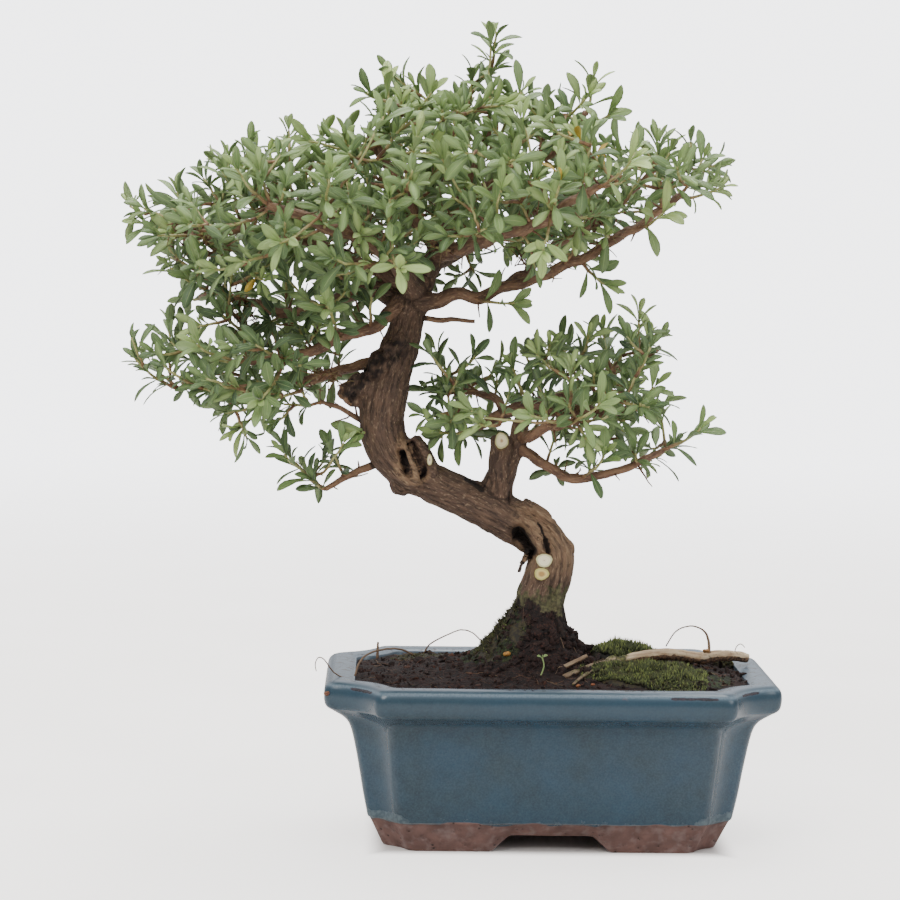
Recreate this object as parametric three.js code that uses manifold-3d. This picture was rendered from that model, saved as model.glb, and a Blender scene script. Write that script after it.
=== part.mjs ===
// A coprosma bonsai and its glazed pot with indented corners, in millimetres, with +Z up.
// X runs along the pot's front, and the front faces -Y. Heights start a little above the feet's soles.
import * as THREE from 'three';
import { mergeVertices } from 'three/addons/utils/BufferGeometryUtils.js';
import Module from 'manifold-3d';

const wasm = await Module();
wasm.setup();

// Driving dimensions
const potLength = 137.6;
const potDepth = 90;
const potHeight = 50;
const potFloor = 10.5;
const feetLevel = -1.6;
const gap = 0.3;

// The pot's outline is a rectangle whose corners are drawn in. Each ring gives its height, how far
// it stands inside the lip, and the size of its corner's notch.
const cornerBow = 0.55;
const cornerNose = 3;
const potOutside = [
  [feetLevel, 17.8, 7.9],
  [7.6, 13.5, 9],
  [15, 12, 9.7],
  [25, 10.3, 10.5],
  [35, 8.2, 11.8],
  [38.8, 5.8, 13.4],
  [40.8, 2.8, 15],
  [42.4, 0.5, 15.8],
  [44.8, 0, 16],
  [48.6, 0.3, 15.9],
  [potHeight, 2.4, 15],
];
const potInside = [
  [potHeight, 8.2, 12.5],
  [47.6, 9.6, 12],
  [28, 13.6, 9.8],
  [potFloor, 18, 8],
];

// The four feet are what two tapered gaps leave of the skirt round the hollow underside.
const hollowHeight = 6;
const hollowInset = 25;
const footGapTop = 3.6;
const frontGap = { bottom: 37, top: 24.6 };
const sideGap = { bottom: 21, top: 13 };

const drainHole = { radius: 6, x: 28 };
const drainMesh = { side: 20, thickness: 1.2, hole: 7, pitch: 8.6, holesAcross: 2 };

// Soil: a low dome, a steep mound up the root collar and small lumps
const soilEdge = 48;
const soilDome = 4.2;
const soilCell = 9;
const moundHeight = 24;
const trunkFoot = new THREE.Vector2(-2, 0);

// Leaves
const leafLength = { least: 9, most: 13 };
const leafWidth = 3.4;
const leafThickness = 0.8;
const leafForm = { widest: 0.62, arch: 0.7 };
const leafFoot = 0.45;
const twigRadius = { foot: 0.95, end: 0.6 };
const leafClearance = 1.6;
const leafTries = [[0, 0], [0.5, 0], [-0.5, 0], [0, 0.35], [0, -0.35], [0.9, 0.2], [-0.9, 0.2]];
const leafPairsBelowTip = [1.2, 4.5, 10];
const leafPairsOnFork = 2;
const leafPairStep = 0.9;
const forkAt = 0.35;
const twigSag = 0.12;

// A wooden member is a list of [x, y, z, radius] along its middle.
const trunkLine = [
  [-2, 0, 37, 8],
  [-2.5, 0, 48, 10.8],
  [-2.5, 0, 58.5, 9],
  [-3, 0, 70.5, 7.6],
  [-0.5, 0, 79.5, 7.4],
  [-0.5, 0, 86.5, 7.3],
  [-6.5, 0, 92.5, 7],
  [-19.5, 0, 99.5, 6.8],
  [-29.5, 0, 104, 6.2],
  [-39, 0, 108, 6.1],
  [-47, 0, 113, 6.7],
  [-51, 0, 120, 6.9],
  [-51.5, 1, 126.5, 6.7],
  [-50.5, 1, 134, 6.4],
  [-49, 1, 142, 6.2],
  [-46.5, 1, 151.5, 5.9],
  [-45, 1, 160, 5.5],
  [-43, 1, 164.5, 4.6],
  [-38.5, 2, 173, 3.6],
  [-32, 1, 186, 2.8],
  [-26, -1, 200, 2],
  [-21.5, -4, 214.5, 1.3],
];
const roots = [
  [[-2, 0, 43, 6], [-14, -8, 38, 4], [-30, -15, 30, 2]],
  [[-2, 0, 43, 6], [-14, 8, 38, 4], [-34, 14, 28, 2]],
  [[-2, 0, 43, 6], [10, -8, 37, 4], [28, -14, 28, 2]],
  [[-2, 0, 43, 6], [10, 8, 37, 4], [34, 13, 30, 2]],
];
const limbs = {
  rightMain: [
    [-45.5, 0, 161.5, 4.2], [-33, -3, 163.5, 3.1], [-15.5, -6, 167.5, 2.5], [2, -8, 174, 1.9],
    [11, -8, 178.5, 1.6], [24, -8, 186, 1.4], [37.5, -6, 196.5, 1.1],
  ],
  leftMain: [
    [-45, 0, 160.5, 4.6], [-57, -4, 156.5, 3.4], [-65, -7, 153, 2.8], [-72.5, -10, 148, 2.2],
    [-82, -14, 145.5, 1.7], [-93.5, -18, 144.5, 1.2],
  ],
  upperLeft: [
    [-45, 2, 162, 4], [-57.5, 4, 166.5, 3], [-69, 6, 161.5, 2.4], [-77, 8, 158, 2],
    [-88, 10, 159.5, 1.6], [-101.5, 10, 163.5, 1.2],
  ],
  lowLeft: [
    [-52, 2, 143, 3], [-64, 4, 142, 2.4], [-84.5, 8, 136, 1.9], [-108.5, 8, 136, 1.3],
    [-115.5, 7, 134.5, 0.9],
  ],
  backLeft: [[-43, 3, 166, 3.6], [-50.5, 22, 178.5, 2.8], [-65, 36, 187, 2], [-83, 42, 192, 1.2]],
  frontLeft: [
    [-43, -2, 166.5, 3.4], [-51.5, -20, 178, 2.6], [-67, -34, 184.5, 1.9], [-86.5, -38, 191, 1.2],
  ],
  leftHigh: [
    [-41, 0, 168.5, 3.4], [-60, 2, 174.5, 2.8], [-78.5, 2, 181, 2.2], [-96.5, 0, 184.5, 1.6],
    [-111.5, 0, 182, 1.1],
  ],
  crownLeft: [[-36, 2, 178.5, 2.6], [-45, -4, 192, 2.1], [-51.5, -8, 204, 1.6], [-56.5, -10, 212.5, 1.5]],
  crownRight: [[-28, 0, 195, 2], [-12.5, 4, 204, 1.6], [0, 6, 212, 1.3], [9, 6, 221.5, 1]],
  backRight: [[-37, 2, 175, 3], [-19.5, 24, 183.5, 2.2], [0, 36, 193.5, 1.6], [18, 40, 201.5, 1.1]],
  frontRight: [
    [-36.5, 1, 177, 2.8], [-21.5, -22, 182, 2.2], [-5.5, -34, 188, 1.6], [10, -38, 198, 1.1],
  ],
  rightBack: [[-15.5, -5, 167.5, 2], [2, 14, 180.5, 1.6], [19.5, 20, 193.5, 1.3], [31.5, 18, 204.5, 1]],
  stub: [
    [-17, 0, 100, 5.2], [-16, -1, 109.5, 4.4], [-12.5, -1, 116, 3.4], [-10, 0, 122, 3],
    [-9, 2, 126.5, 2.6], [-6, 4, 131, 2.2],
  ],
  cutStub: [[-16.5, -1, 104, 4.4], [-16, -3, 114, 3.6], [-16, -5, 122, 3.3]],
  padMiddle: [
    [-23, 4, 124, 1.4], [-14.5, 3, 128.5, 1.9], [-6, 2, 130.5, 2.3], [9, -2, 129.5, 1.9],
    [22, -4, 130.5, 1.4], [28, -5, 132, 0.9],
  ],
  padLow: [
    [-11, -1, 118.5, 1.9], [-2, -6, 113.5, 1.6], [7.5, -10, 110, 1.5], [21.5, -12, 113, 1.2],
    [33, -12, 119, 0.9],
  ],
  padUpper: [
    [1, 1, 130.5, 1.7], [9.5, 6, 137, 1.6], [18.5, 9, 142, 1.4], [28, 12, 146, 1.1], [34, 12, 149.5, 0.8],
  ],
  padBack: [[-6, 4, 131, 2], [3.5, 22, 133.5, 1.5], [17, 34, 137.5, 1]],
  padFront: [[-10, 0, 121, 1.8], [-5, -18, 125, 1.5], [6, -30, 129, 1]],
  padLeft: [[-14.5, 3, 128.5, 1.6], [-19, 6, 134, 1.2], [-27, 8, 135, 0.9]],
  lowTwig: [[-50, 0, 115, 1.4], [-62.5, -2, 109, 1.1], [-69.5, -3, 105, 0.8]],
  bareTwigLeft: [[-50, 0, 122.5, 1.1], [-60, 0, 127, 0.9], [-71.5, -1, 132, 0.6]],
  bareTwigRight: [[-45, 0, 157.5, 1], [-24.5, -2, 157, 0.6]],
};
// Features on the trunk's front: rolls of callus round old wounds, and small stubs
const callusRolls = [
  [[-45, -4.5, 119, 2.2], [-41.5, -5.5, 112, 2.3], [-40.5, -5, 108.5, 2.1], [-46, -5, 106.5, 1.8]],
  [[-12, -3.5, 98, 2], [-6, -5.5, 96, 2.3], [-1.5, -6, 91, 2.2], [-0.5, -5, 84, 1.8]],
];
const stubs = [
  [[-2, -5, 83, 2.6], [-2, -8.4, 83.5, 2.5]],
  [[-3, -5, 79, 2.2], [-3, -8.2, 79.8, 2.1]],
  [[-38, -2, 108, 1.9], [-37.7, -4.5, 116, 1.2]],
  [[-49, 0, 112, 3], [-52.5, -0.5, 104.5, 2.2]],
];
const hollow = { centre: [-9.5, -8, 90], radii: [2.6, 4.4, 5] };
const knob = { centre: [-54.5, 0, 141.5], radii: [4.6, 5.5, 9.5] };

// Each spray grows from its base on the wood, and forks once for each further tip.
const sprays = {
  apex: [[-21, -4, 213.5], [-21, -4, 242], [-41, 3, 221]],
  fan: [[-52, -8, 204], [-52, -12, 227], [-39, -20, 225], [-39, -31, 207], [-75, -25, 210]],
  crown_back: [[-31, 1, 188], [-28, 20, 224], [-49, 23, 215]],
  crown_front: [[-24.5, -2, 205], [-12, -14, 226]],
  crown_right: [[-5, 5, 209], [-3, 18, 224], [15, -8, 220]],
  upper_right: [[9, 6, 220.5], [11, 6, 231]],
  right_top: [[31, 18, 204], [33, 20, 213], [13, 28, 205]],
  right_end: [[37, -6, 196], [43, -12, 207], [47, -4, 200], [19, -3, 207]],
  right_under: [[24, -8, 186], [31, -20, 191]],
  right_spur: [[7, -8, 176], [14, -12, 169]],
  front_right_mid: [[-5, -34, 188], [-2, -50, 199], [-7, -52, 179], [-13, -35, 217], [-1, -25, 206]],
  front_right_end: [[9.5, -38, 197.5], [18, -48, 205], [22, -22, 209]],
  front_right_low: [[-22, -22, 182], [-19, -48, 196], [-36, -39, 205]],
  back_right_low: [[-19, 24, 183], [-16, 42, 204], [-39, 31, 205]],
  back_right_mid: [[0, 36, 193], [9, 52, 208], [6, 54, 184]],
  back_right_end: [[17, 40, 201], [31, 46, 207]],
  right_middle: [[2, -8, 174], [8, -16, 190]],
  right_low: [[-26, -5, 165], [-13, -14, 163]],
  left_front_mid: [[-71, -35, 186], [-68, -52, 200], [-82, -56, 180], [-53, -39, 217]],
  left_front_end: [[-86, -38, 191], [-95, -46, 201], [-95, -25, 194]],
  left_front_low: [[-51, -20, 178], [-51, -48, 193], [-48, -50, 173], [-37, -21, 189]],
  left_back_mid: [[-65, 36, 187], [-67, 50, 205], [-77, 58, 179], [-64, 26, 210]],
  left_back_end: [[-83, 42, 192], [-98, 48, 200], [-93, 18, 205]],
  left_back_low: [[-51, 22, 178], [-48, 48, 199], [-47, 54, 174], [-35, 36, 185]],
  left_high_mid: [[-78, 2, 181], [-82, 0, 208], [-78, -22, 183]],
  left_high_end: [[-96, 0, 184], [-101, 4, 205]],
  left_far: [[-111, 0, 182], [-116, 4, 195], [-125, -4, 185], [-119, 32, 184]],
  left_far_low: [[-101, 10, 163.5], [-118, 4, 172], [-114, 28, 162], [-103, 33, 184]],
  left_top: [[-60, 2, 175], [-65, 6, 213], [-64, -17, 197]],
  low_left_tip: [[-115, 7, 134.5], [-124, 6, 143], [-119, 14, 153]],
  low_left_front: [[-93, -18, 144.5], [-107, -32, 150]],
  low_left_hanging: [[-84, 8, 136], [-96, 2, 123], [-95, 36, 143]],
  low_left_near: [[-82, -14, 145.5], [-88, -36, 134]],
  low_left_back: [[-64, 4, 142], [-73, 34, 137]],
  low_left_inner: [[-65, -7, 153], [-69, -38, 162]],
  low_left_behind: [[-77, 8, 158], [-84, 40, 162]],
  low_spray: [[-69, -3, 105], [-82, -8, 116], [-64, -14, 120]],
  pad_left: [[-27, 8, 135], [-36, 8, 147]],
  pad_low_left: [[-23, 4, 124], [-35, -6, 123], [-19, 25, 125]],
  pad_inner: [[-6, 2, 130.5], [-13, -6, 143]],
  pad_middle: [[10, 6, 137], [2, 0, 150]],
  pad_top: [[18, 9, 142], [16, 10, 153]],
  pad_top_right: [[28, 12, 146], [30, 10, 152]],
  pad_right: [[22, -4, 130.5], [30, -10, 138]],
  pad_tip: [[32.5, -12, 119], [44, -14, 126]],
  pad_low: [[8, -10, 110], [14, -24, 118]],
  pad_front: [[1, -24, 127], [11, -42, 135], [-9, -42, 131], [-26, -24, 131]],
  pad_back: [[10, 28, 135], [29, 44, 141], [1, 44, 140]],
};

// Colours, as read by eye
const looks = {
  glaze: { color: 0x4d6f86, roughness: 0.25, metalness: 0 },
  mesh: { color: 0x202224, roughness: 0.6, metalness: 0 },
  soil: { color: 0x2b1d18, roughness: 0.95, metalness: 0 },
  bark: { color: 0x7a5f49, roughness: 0.85, metalness: 0 },
  leaf: { color: 0x5f8a3c, roughness: 0.4, metalness: 0 },
  moss: { color: 0x55702a, roughness: 0.95, metalness: 0 },
  deadRoot: { color: 0xcdb692, roughness: 0.8, metalness: 0 },
  seedling: { color: 0x8fc04a, roughness: 0.5, metalness: 0 },
};

const vector = ([x, y, z]) => new THREE.Vector3(x, y, z);

// A number from 0 to 1 that depends only on the keys, so that each leaf keeps its own form
function draw(...keys) {
  let state = 20817;
  for (const key of keys) {
    state = Math.imul(state ^ (key + 1), 0x9e3779b1) >>> 0;
    state = (state ^ (state >>> 15)) >>> 0;
  }
  state = Math.imul(state, 0x85ebca6b) >>> 0;
  return ((state ^ (state >>> 13)) >>> 0) / 4294967296;
}

// A closed geometry as a solid that can be joined and cut
function solid(geometry) {
  const bare = geometry.clone();
  bare.deleteAttribute('normal');
  bare.deleteAttribute('uv');
  const merged = mergeVertices(bare, 1e-4);
  return new wasm.Manifold(new wasm.Mesh({
    numProp: 3,
    vertProperties: new Float32Array(merged.attributes.position.array),
    triVerts: new Uint32Array(merged.index.array),
  }));
}

function geometryOf(body) {
  const mesh = body.getMesh();
  const geometry = new THREE.BufferGeometry();
  geometry.setAttribute('position', new THREE.BufferAttribute(mesh.vertProperties, 3));
  geometry.setIndex(new THREE.BufferAttribute(mesh.triVerts, 1));
  geometry.computeVertexNormals();
  return geometry;
}

// The skin over a stack of rings with equal numbers of points, closed at both ends. An end that
// isn't convex is closed round its middle.
function loft(rings, convex = true) {
  const count = rings[0].length;
  const points = rings.flat();
  const faces = [];
  for (let level = 0; level < rings.length - 1; level++) {
    for (let i = 0; i < count; i++) {
      const a = level * count + i;
      const b = level * count + (i + 1) % count;
      faces.push(a, b, b + count, a, b + count, a + count);
    }
  }
  const last = (rings.length - 1) * count;
  for (const [start, flipped] of [[0, true], [last, false]]) {
    const hub = convex ? start : points.length;
    if (!convex) {
      const ring = points.slice(start, start + count);
      points.push(ring.reduce((sum, p) => sum.add(p), new THREE.Vector3()).divideScalar(count));
    }
    for (let i = convex ? 1 : 0; i < (convex ? count - 1 : count); i++) {
      const a = start + i;
      const b = start + (i + 1) % count;
      faces.push(...(flipped ? [b, a, hub] : [a, b, hub]));
    }
  }
  const geometry = new THREE.BufferGeometry().setFromPoints(points);
  geometry.setIndex(faces);
  return geometry;
}

// A round bar that follows [x, y, z, radius] points on a smooth curve
function bar(line, sides, steps, extra = 0) {
  const curve = new THREE.CatmullRomCurve3(line.map(vector), false, 'catmullrom', 0.5);
  const frames = curve.computeFrenetFrames(steps, false);
  const rings = [];
  for (let step = 0; step <= steps; step++) {
    const along = curve.getUtoTmapping(step / steps);
    const place = along * (line.length - 1);
    const before = Math.min(Math.floor(place), line.length - 2);
    const radius = THREE.MathUtils.lerp(line[before][3], line[before + 1][3], place - before) + extra;
    const middle = curve.getPoint(along);
    const ring = [];
    for (let side = 0; side < sides; side++) {
      const angle = side / sides * 2 * Math.PI;
      ring.push(middle.clone()
        .addScaledVector(frames.normals[step], radius * Math.cos(angle))
        .addScaledVector(frames.binormals[step], radius * Math.sin(angle)));
    }
    rings.push(ring);
  }
  return solid(loft(rings));
}

function ball({ centre, radii }, detail = 1) {
  const geometry = new THREE.IcosahedronGeometry(1, detail);
  geometry.scale(...radii);
  geometry.translate(...centre);
  return solid(geometry);
}

function join(bodies) {
  return bodies.reduce((whole, body) => whole.add(body));
}

function cut(body, ...tools) {
  return tools.reduce((rest, tool) => rest.subtract(tool), body);
}

// The largest of the bodies that a cut leaves
function mainPiece(body) {
  return body.decompose().reduce((best, piece) => (piece.volume() > best.volume() ? piece : best));
}

// Pot
function outline([height, inset, notch]) {
  const halfLength = potLength / 2 - inset;
  const halfDepth = potDepth / 2 - inset;
  const start = new THREE.Vector2(halfLength, halfDepth - notch);
  const end = new THREE.Vector2(halfLength - notch, halfDepth);
  const inner = new THREE.Vector2(end.x, start.y);
  const middle = start.clone().lerp(end, 0.5).lerp(inner, cornerBow);
  const arc = new THREE.QuadraticBezierCurve(start, middle, end);
  const share = cornerNose / notch / 1.6;
  const noseStart = new THREE.Vector2(start.x, start.y - cornerNose);
  const noseEnd = new THREE.Vector2(end.x - cornerNose, end.y);
  const corner = [
    ...new THREE.QuadraticBezierCurve(noseStart, start, arc.getPoint(share)).getPoints(2),
    arc.getPoint(0.5),
    ...new THREE.QuadraticBezierCurve(arc.getPoint(1 - share), end, noseEnd).getPoints(2),
  ];
  const back = [...corner].reverse();
  return [
    ...corner,
    ...back.map((p) => new THREE.Vector2(-p.x, p.y)),
    ...corner.map((p) => new THREE.Vector2(-p.x, -p.y)),
    ...back.map((p) => new THREE.Vector2(p.x, -p.y)),
  ].map((p) => new THREE.Vector3(p.x, p.y, height));
}

function footGap({ bottom, top }, length) {
  const shape = new THREE.Shape([
    new THREE.Vector2(-bottom / 2 - 1, feetLevel - 0.8),
    new THREE.Vector2(bottom / 2 + 1, feetLevel - 0.8),
    new THREE.Vector2(top / 2, footGapTop),
    new THREE.Vector2(-top / 2, footGapTop),
  ]);
  const geometry = new THREE.ExtrudeGeometry(shape, { depth: length, bevelEnabled: false });
  geometry.rotateX(Math.PI / 2);
  geometry.translate(0, length / 2, 0);
  return geometry;
}

function drainHoleTool(x) {
  const geometry = new THREE.CylinderGeometry(drainHole.radius, drainHole.radius, potFloor * 2, 16);
  geometry.rotateX(Math.PI / 2);
  geometry.translate(x, 0, potFloor);
  return solid(geometry);
}

function makePot() {
  const body = solid(loft([...potOutside, ...potInside].map(outline), false));
  const underside = [[feetLevel - 1, hollowInset, 6], [hollowHeight, hollowInset + 1.5, 6]];
  return cut(
    body,
    solid(loft(underside.map(outline), false)),
    solid(footGap(frontGap, potDepth)),
    solid(footGap(sideGap, potLength).rotateZ(Math.PI / 2)),
    drainHoleTool(-drainHole.x),
    drainHoleTool(drainHole.x),
  );
}

// A square of plastic mesh over a drain hole
function makeDrainMesh(x) {
  const { side, thickness, hole, pitch, holesAcross } = drainMesh;
  const first = -(holesAcross - 1) / 2 * pitch;
  const holes = [];
  for (let row = 0; row < holesAcross; row++) {
    for (let column = 0; column < holesAcross; column++) {
      const geometry = new THREE.BoxGeometry(hole, hole, thickness * 3);
      holes.push(solid(geometry.translate(first + column * pitch, first + row * pitch, 0)));
    }
  }
  const sheet = cut(solid(new THREE.BoxGeometry(side, side, thickness)), ...holes);
  return sheet.translate(x, 0, potFloor + gap + thickness / 2);
}

// Soil and moss
function soilHeight(x, y) {
  const across = 1 - (x / (potLength / 2 - 8.8)) ** 2;
  const deep = 1 - (y / (potDepth / 2 - 8)) ** 2;
  const dome = soilDome * Math.max(across, 0) * Math.max(deep, 0);
  const away = new THREE.Vector2(x, y).sub(trunkFoot);
  const spread = 11.5 - 2.8 * away.x / Math.max(away.length(), 1);
  const mound = moundHeight * Math.exp(-away.lengthSq() / spread ** 2);
  const lumps = 0.45 * Math.sin(0.5 * x + 1.3) * Math.sin(0.55 * y + 0.4);
  return soilEdge + dome + mound + lumps;
}

// A block under the soil's surface, raised by some amount
function soilBlock(raised) {
  const columns = Math.ceil(potLength / soilCell);
  const rows = Math.ceil(potDepth / soilCell);
  const geometry = new THREE.BoxGeometry(columns * soilCell, rows * soilCell, 1, columns, rows, 1);
  const position = geometry.attributes.position;
  for (let i = 0; i < position.count; i++) {
    const top = soilHeight(position.getX(i), position.getY(i)) + raised;
    position.setZ(i, position.getZ(i) > 0 ? top : -10);
  }
  return solid(geometry);
}

function insideOfPot() {
  const rings = [...potInside].reverse().map(([z, inset, notch]) => [z, inset + gap, notch]);
  const [, inset, notch] = rings[rings.length - 1];
  rings[0][0] += gap;
  rings.push([potHeight + 40, inset, notch]);
  return solid(loft(rings.map(outline), false));
}

// A patch of moss is two ragged mats on the soil, a wide thin one under a smaller thick one.
const mossSides = 8;
const mossMats = [{ size: 1, share: 0.5 }, { size: 0.65, share: 1 }];

function mossPatch({ centre: [x, y], radii: [across, deep], thickness }) {
  return join(mossMats.map(({ size, share }) => {
    const edge = [];
    for (let i = 0; i < mossSides; i++) {
      const angle = i / mossSides * 2 * Math.PI;
      const ragged = size * (1 + 0.12 * Math.sin(3 * angle + x) + 0.07 * Math.sin(7 * angle));
      const px = x + across * ragged * Math.cos(angle);
      edge.push(new THREE.Vector2(px, y + deep * ragged * Math.sin(angle)));
    }
    const prism = new THREE.ExtrudeGeometry(new THREE.Shape(edge), { depth: 60, bevelEnabled: false });
    return solid(prism.translate(0, 0, potFloor + 30)).intersect(soilBlock(thickness * share));
  }));
}

// Wood
const trunkRings = 21;
const steps = (line) => line.length - 1;

function wood(extra = 0) {
  const parts = [bar(trunkLine, 8, trunkRings, extra)];
  for (const line of roots) {
    parts.push(bar(line, 4, 2, extra));
  }
  for (const line of Object.values(limbs)) {
    parts.push(bar(line, line[0][3] > 3.5 ? 5 : 4, steps(line), extra));
  }
  return join(parts);
}

function makeTrunk() {
  const rolls = callusRolls.map((line) => bar(line, 4, steps(line)));
  const ends = stubs.map((line) => bar(line, 5, 1));
  return mainPiece(join([cut(wood(), ball(hollow)), ...rolls, ...ends, ball(knob)]));
}

// Leafy sprays
const up = new THREE.Vector3(0, 0, 1);

// The twigs of a spray, each a curve that sags a little and rises to its tip
function twigsOf([base, ...tips]) {
  const twigs = [];
  for (const tip of tips) {
    const start = twigs.length ? twigs[0].getPoint(forkAt) : vector(base);
    const end = vector(tip);
    const bend = start.clone().lerp(end, 0.5);
    bend.z -= twigSag * start.distanceTo(end);
    twigs.push(new THREE.QuadraticBezierCurve3(start, bend, end));
  }
  return twigs;
}

// The level direction across a twig
function levelAcross(twig) {
  const across = up.clone().cross(twig.v2.clone().sub(twig.v0));
  return across.length() > 0.5 ? across.normalize() : new THREE.Vector3(1, 0, 0);
}

// A slim square bar, so that each leaf of a pair leaves it through one flat side
function twigBody(twig) {
  const across = levelAcross(twig);
  const rings = [0, 0.5, 1].map((share) => {
    const reach = THREE.MathUtils.lerp(twigRadius.foot, twigRadius.end, share) * Math.SQRT1_2;
    const rise = twig.getTangent(share).cross(across).setLength(reach);
    const half = across.clone().setLength(reach);
    const middle = twig.getPoint(share);
    return [
      middle.clone().add(half).add(rise),
      middle.clone().sub(half).add(rise),
      middle.clone().sub(half).sub(rise),
      middle.clone().add(half).sub(rise),
    ];
  });
  return solid(loft(rings));
}

// A leaf's frame: where it joins, which way it points and which way its upper face looks
function leafFrame({ joint, stem, across }, around, open) {
  const rise = stem.clone().cross(across);
  const side = rise.multiplyScalar(Math.cos(around)).addScaledVector(across, Math.sin(around));
  const along = stem.clone().multiplyScalar(Math.cos(open)).addScaledVector(side, Math.sin(open));
  const face = stem.clone().addScaledVector(up, 0.5);
  face.addScaledVector(along, -face.dot(along)).normalize();
  return { joint, along, face };
}

// A blunt blade that is widest past its middle, with a keel below and its pointed foot in the twig
function blade({ joint, along, face }, length) {
  const across = along.clone().cross(face);
  const at = (far, side, rise) => joint.clone()
    .addScaledVector(along, far * length)
    .addScaledVector(across, side)
    .addScaledVector(face, rise);
  const { widest, arch } = leafForm;
  const points = [
    at(0, 0, 0).addScaledVector(along, -leafFoot),
    at(widest, -leafWidth / 2, arch), at(widest, leafWidth / 2, arch), at(widest, 0, arch - leafThickness),
    at(1, -leafWidth / 5, 0), at(1, leafWidth / 5, 0),
  ];
  const geometry = new THREE.BufferGeometry().setFromPoints(points);
  geometry.setIndex([0, 2, 1, 0, 3, 2, 0, 1, 3, 1, 2, 5, 1, 5, 4, 2, 3, 5, 3, 4, 5, 3, 1, 4]);
  return solid(geometry);
}

// Where leaves sit: pairs near the tip, each turned a quarter from the last, and pairs down the twig
function leafSites(twig, key, isFork) {
  const sites = [];
  const length = twig.getLength();
  const across = levelAcross(twig);
  const pairs = isFork ? leafPairsBelowTip.slice(0, leafPairsOnFork) : leafPairsBelowTip;
  pairs.forEach((below, pair) => {
    const turn = pair * Math.PI / 2 + 0.3 * (draw(key, pair, 7) - 0.5);
    const open = THREE.MathUtils.degToRad(34 + 14 * Math.min(pair, 2) + 10 * draw(key, pair, 3));
    for (let side = 0; side < 2; side++) {
      const at = Math.max(1 - (below + side * leafPairStep) / length, 0.3);
      const stem = twig.getTangent(at);
      const joint = twig.getPoint(at);
      const long = THREE.MathUtils.lerp(leafLength.least, leafLength.most, draw(key, pair, side));
      sites.push({ joint, stem, across, around: turn + side * Math.PI, open, long });
    }
  });
  return sites;
}

const guards = [];

function guard(owner, from, to, radius) {
  guards.push({ owner, line: new THREE.Line3(from.clone(), to.clone()), radius });
}

function isClear(owner, line, radius) {
  return guards.every((other) => {
    const room = other.owner === owner ? leafPairStep : radius + other.radius + gap;
    return other.line.distanceSqToLine3(line) > room ** 2;
  });
}

// The first of the extra turns and openings at which the leaf crosses nothing, or none
function clearFrame(owner, site) {
  const { joint, around, open, long } = site;
  for (const [turned, opened] of leafTries) {
    const frame = leafFrame(site, around + turned, open + opened);
    const line = new THREE.Line3(
      joint.clone().addScaledVector(frame.along, 0.4 * long),
      joint.clone().addScaledVector(frame.along, long),
    );
    if (isClear(owner, line, leafClearance)) {
      guard(owner, line.start, line.end, leafClearance);
      return frame;
    }
  }
  return null;
}

function guardWood(lines) {
  for (const line of lines) {
    for (let i = 0; i < line.length - 1; i++) {
      guard('wood', vector(line[i]), vector(line[i + 1]), Math.max(line[i][3], line[i + 1][3]));
    }
  }
}

function makeSprays(fatWood) {
  const grown = Object.entries(sprays).map(([name, points]) => ({ name, twigs: twigsOf(points) }));
  guardWood([trunkLine, ...Object.values(limbs)]);
  for (const { name, twigs } of grown) {
    for (const twig of twigs) {
      const points = twig.getPoints(4);
      points.slice(1).forEach((p, i) => guard(name, points[i], p, twigRadius.foot));
    }
  }
  return grown.map(({ name, twigs }, number) => {
    const parts = twigs.map(twigBody);
    twigs.forEach((twig, index) => {
      for (const site of leafSites(twig, number * 4 + index, index > 0)) {
        const frame = clearFrame(name, site);
        if (frame) {
          parts.push(blade(frame, site.long));
        }
      }
    });
    return { name: `spray_${name}`, body: mainPiece(cut(join(parts), fatWood)) };
  });
}

// Things on the soil
const deadRoot = [
  [20, -2, 53.5, 1.1], [28.5, 0, 54.6, 1.3], [36.5, 2.5, 55, 1.4], [45, 5, 53.6, 1.4],
  [48.5, 6, 52.6, 1.5], [53.5, 8, 53.3, 1.4], [61.5, 10, 52.4, 1.3],
];
const prunedTwig = [[1.2, -20, 53.6, 0.65], [9.9, -12, 56.5, 0.7]];
const seedlingStem = [[-6, -24, 48, 0.5], [-5.6, -24, 54, 0.5], [-5, -24.4, 58, 0.45]];
const mossBank = { centre: [30, -17], radii: [19, 16], thickness: 3.4 };
const mossCollar = { centre: [-15, -5], radii: [8, 9], thickness: 2 };

function makeSeedling() {
  const top = vector(seedlingStem[2]);
  const joint = top.clone().addScaledVector(up, -0.5);
  const across = new THREE.Vector3(1, 0, 0);
  const leaves = [0.2, 3.1].map((around) => leafFrame({ joint, stem: up, across }, around, 1));
  return join([bar(seedlingStem, 4, 3), ...leaves.map((frame) => blade(frame, 4.4))]);
}

// The whole object
const bonsai = new THREE.Group();

function place(name, geometry, look) {
  const mesh = new THREE.Mesh(geometry, new THREE.MeshStandardMaterial(look));
  mesh.name = name;
  bonsai.add(mesh);
}

const fatWood = wood(gap);
const fatDeadRoot = bar(deadRoot, 5, 8, gap);
const fatTwig = bar(prunedTwig, 6, 1, gap);
const room = insideOfPot();
const meshRooms = [-drainHole.x, drainHole.x].map((x) => {
  const side = drainMesh.side + 2 * gap;
  const geometry = new THREE.BoxGeometry(side, side, 4);
  geometry.translate(x, 0, potFloor + drainMesh.thickness + 2 * gap - 2);
  return solid(geometry);
});
const soilSolid = cut(
  soilBlock(0).intersect(room),
  fatWood,
  bar(seedlingStem, 4, 3, gap),
  fatDeadRoot,
  fatTwig,
  ...meshRooms,
);

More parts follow.
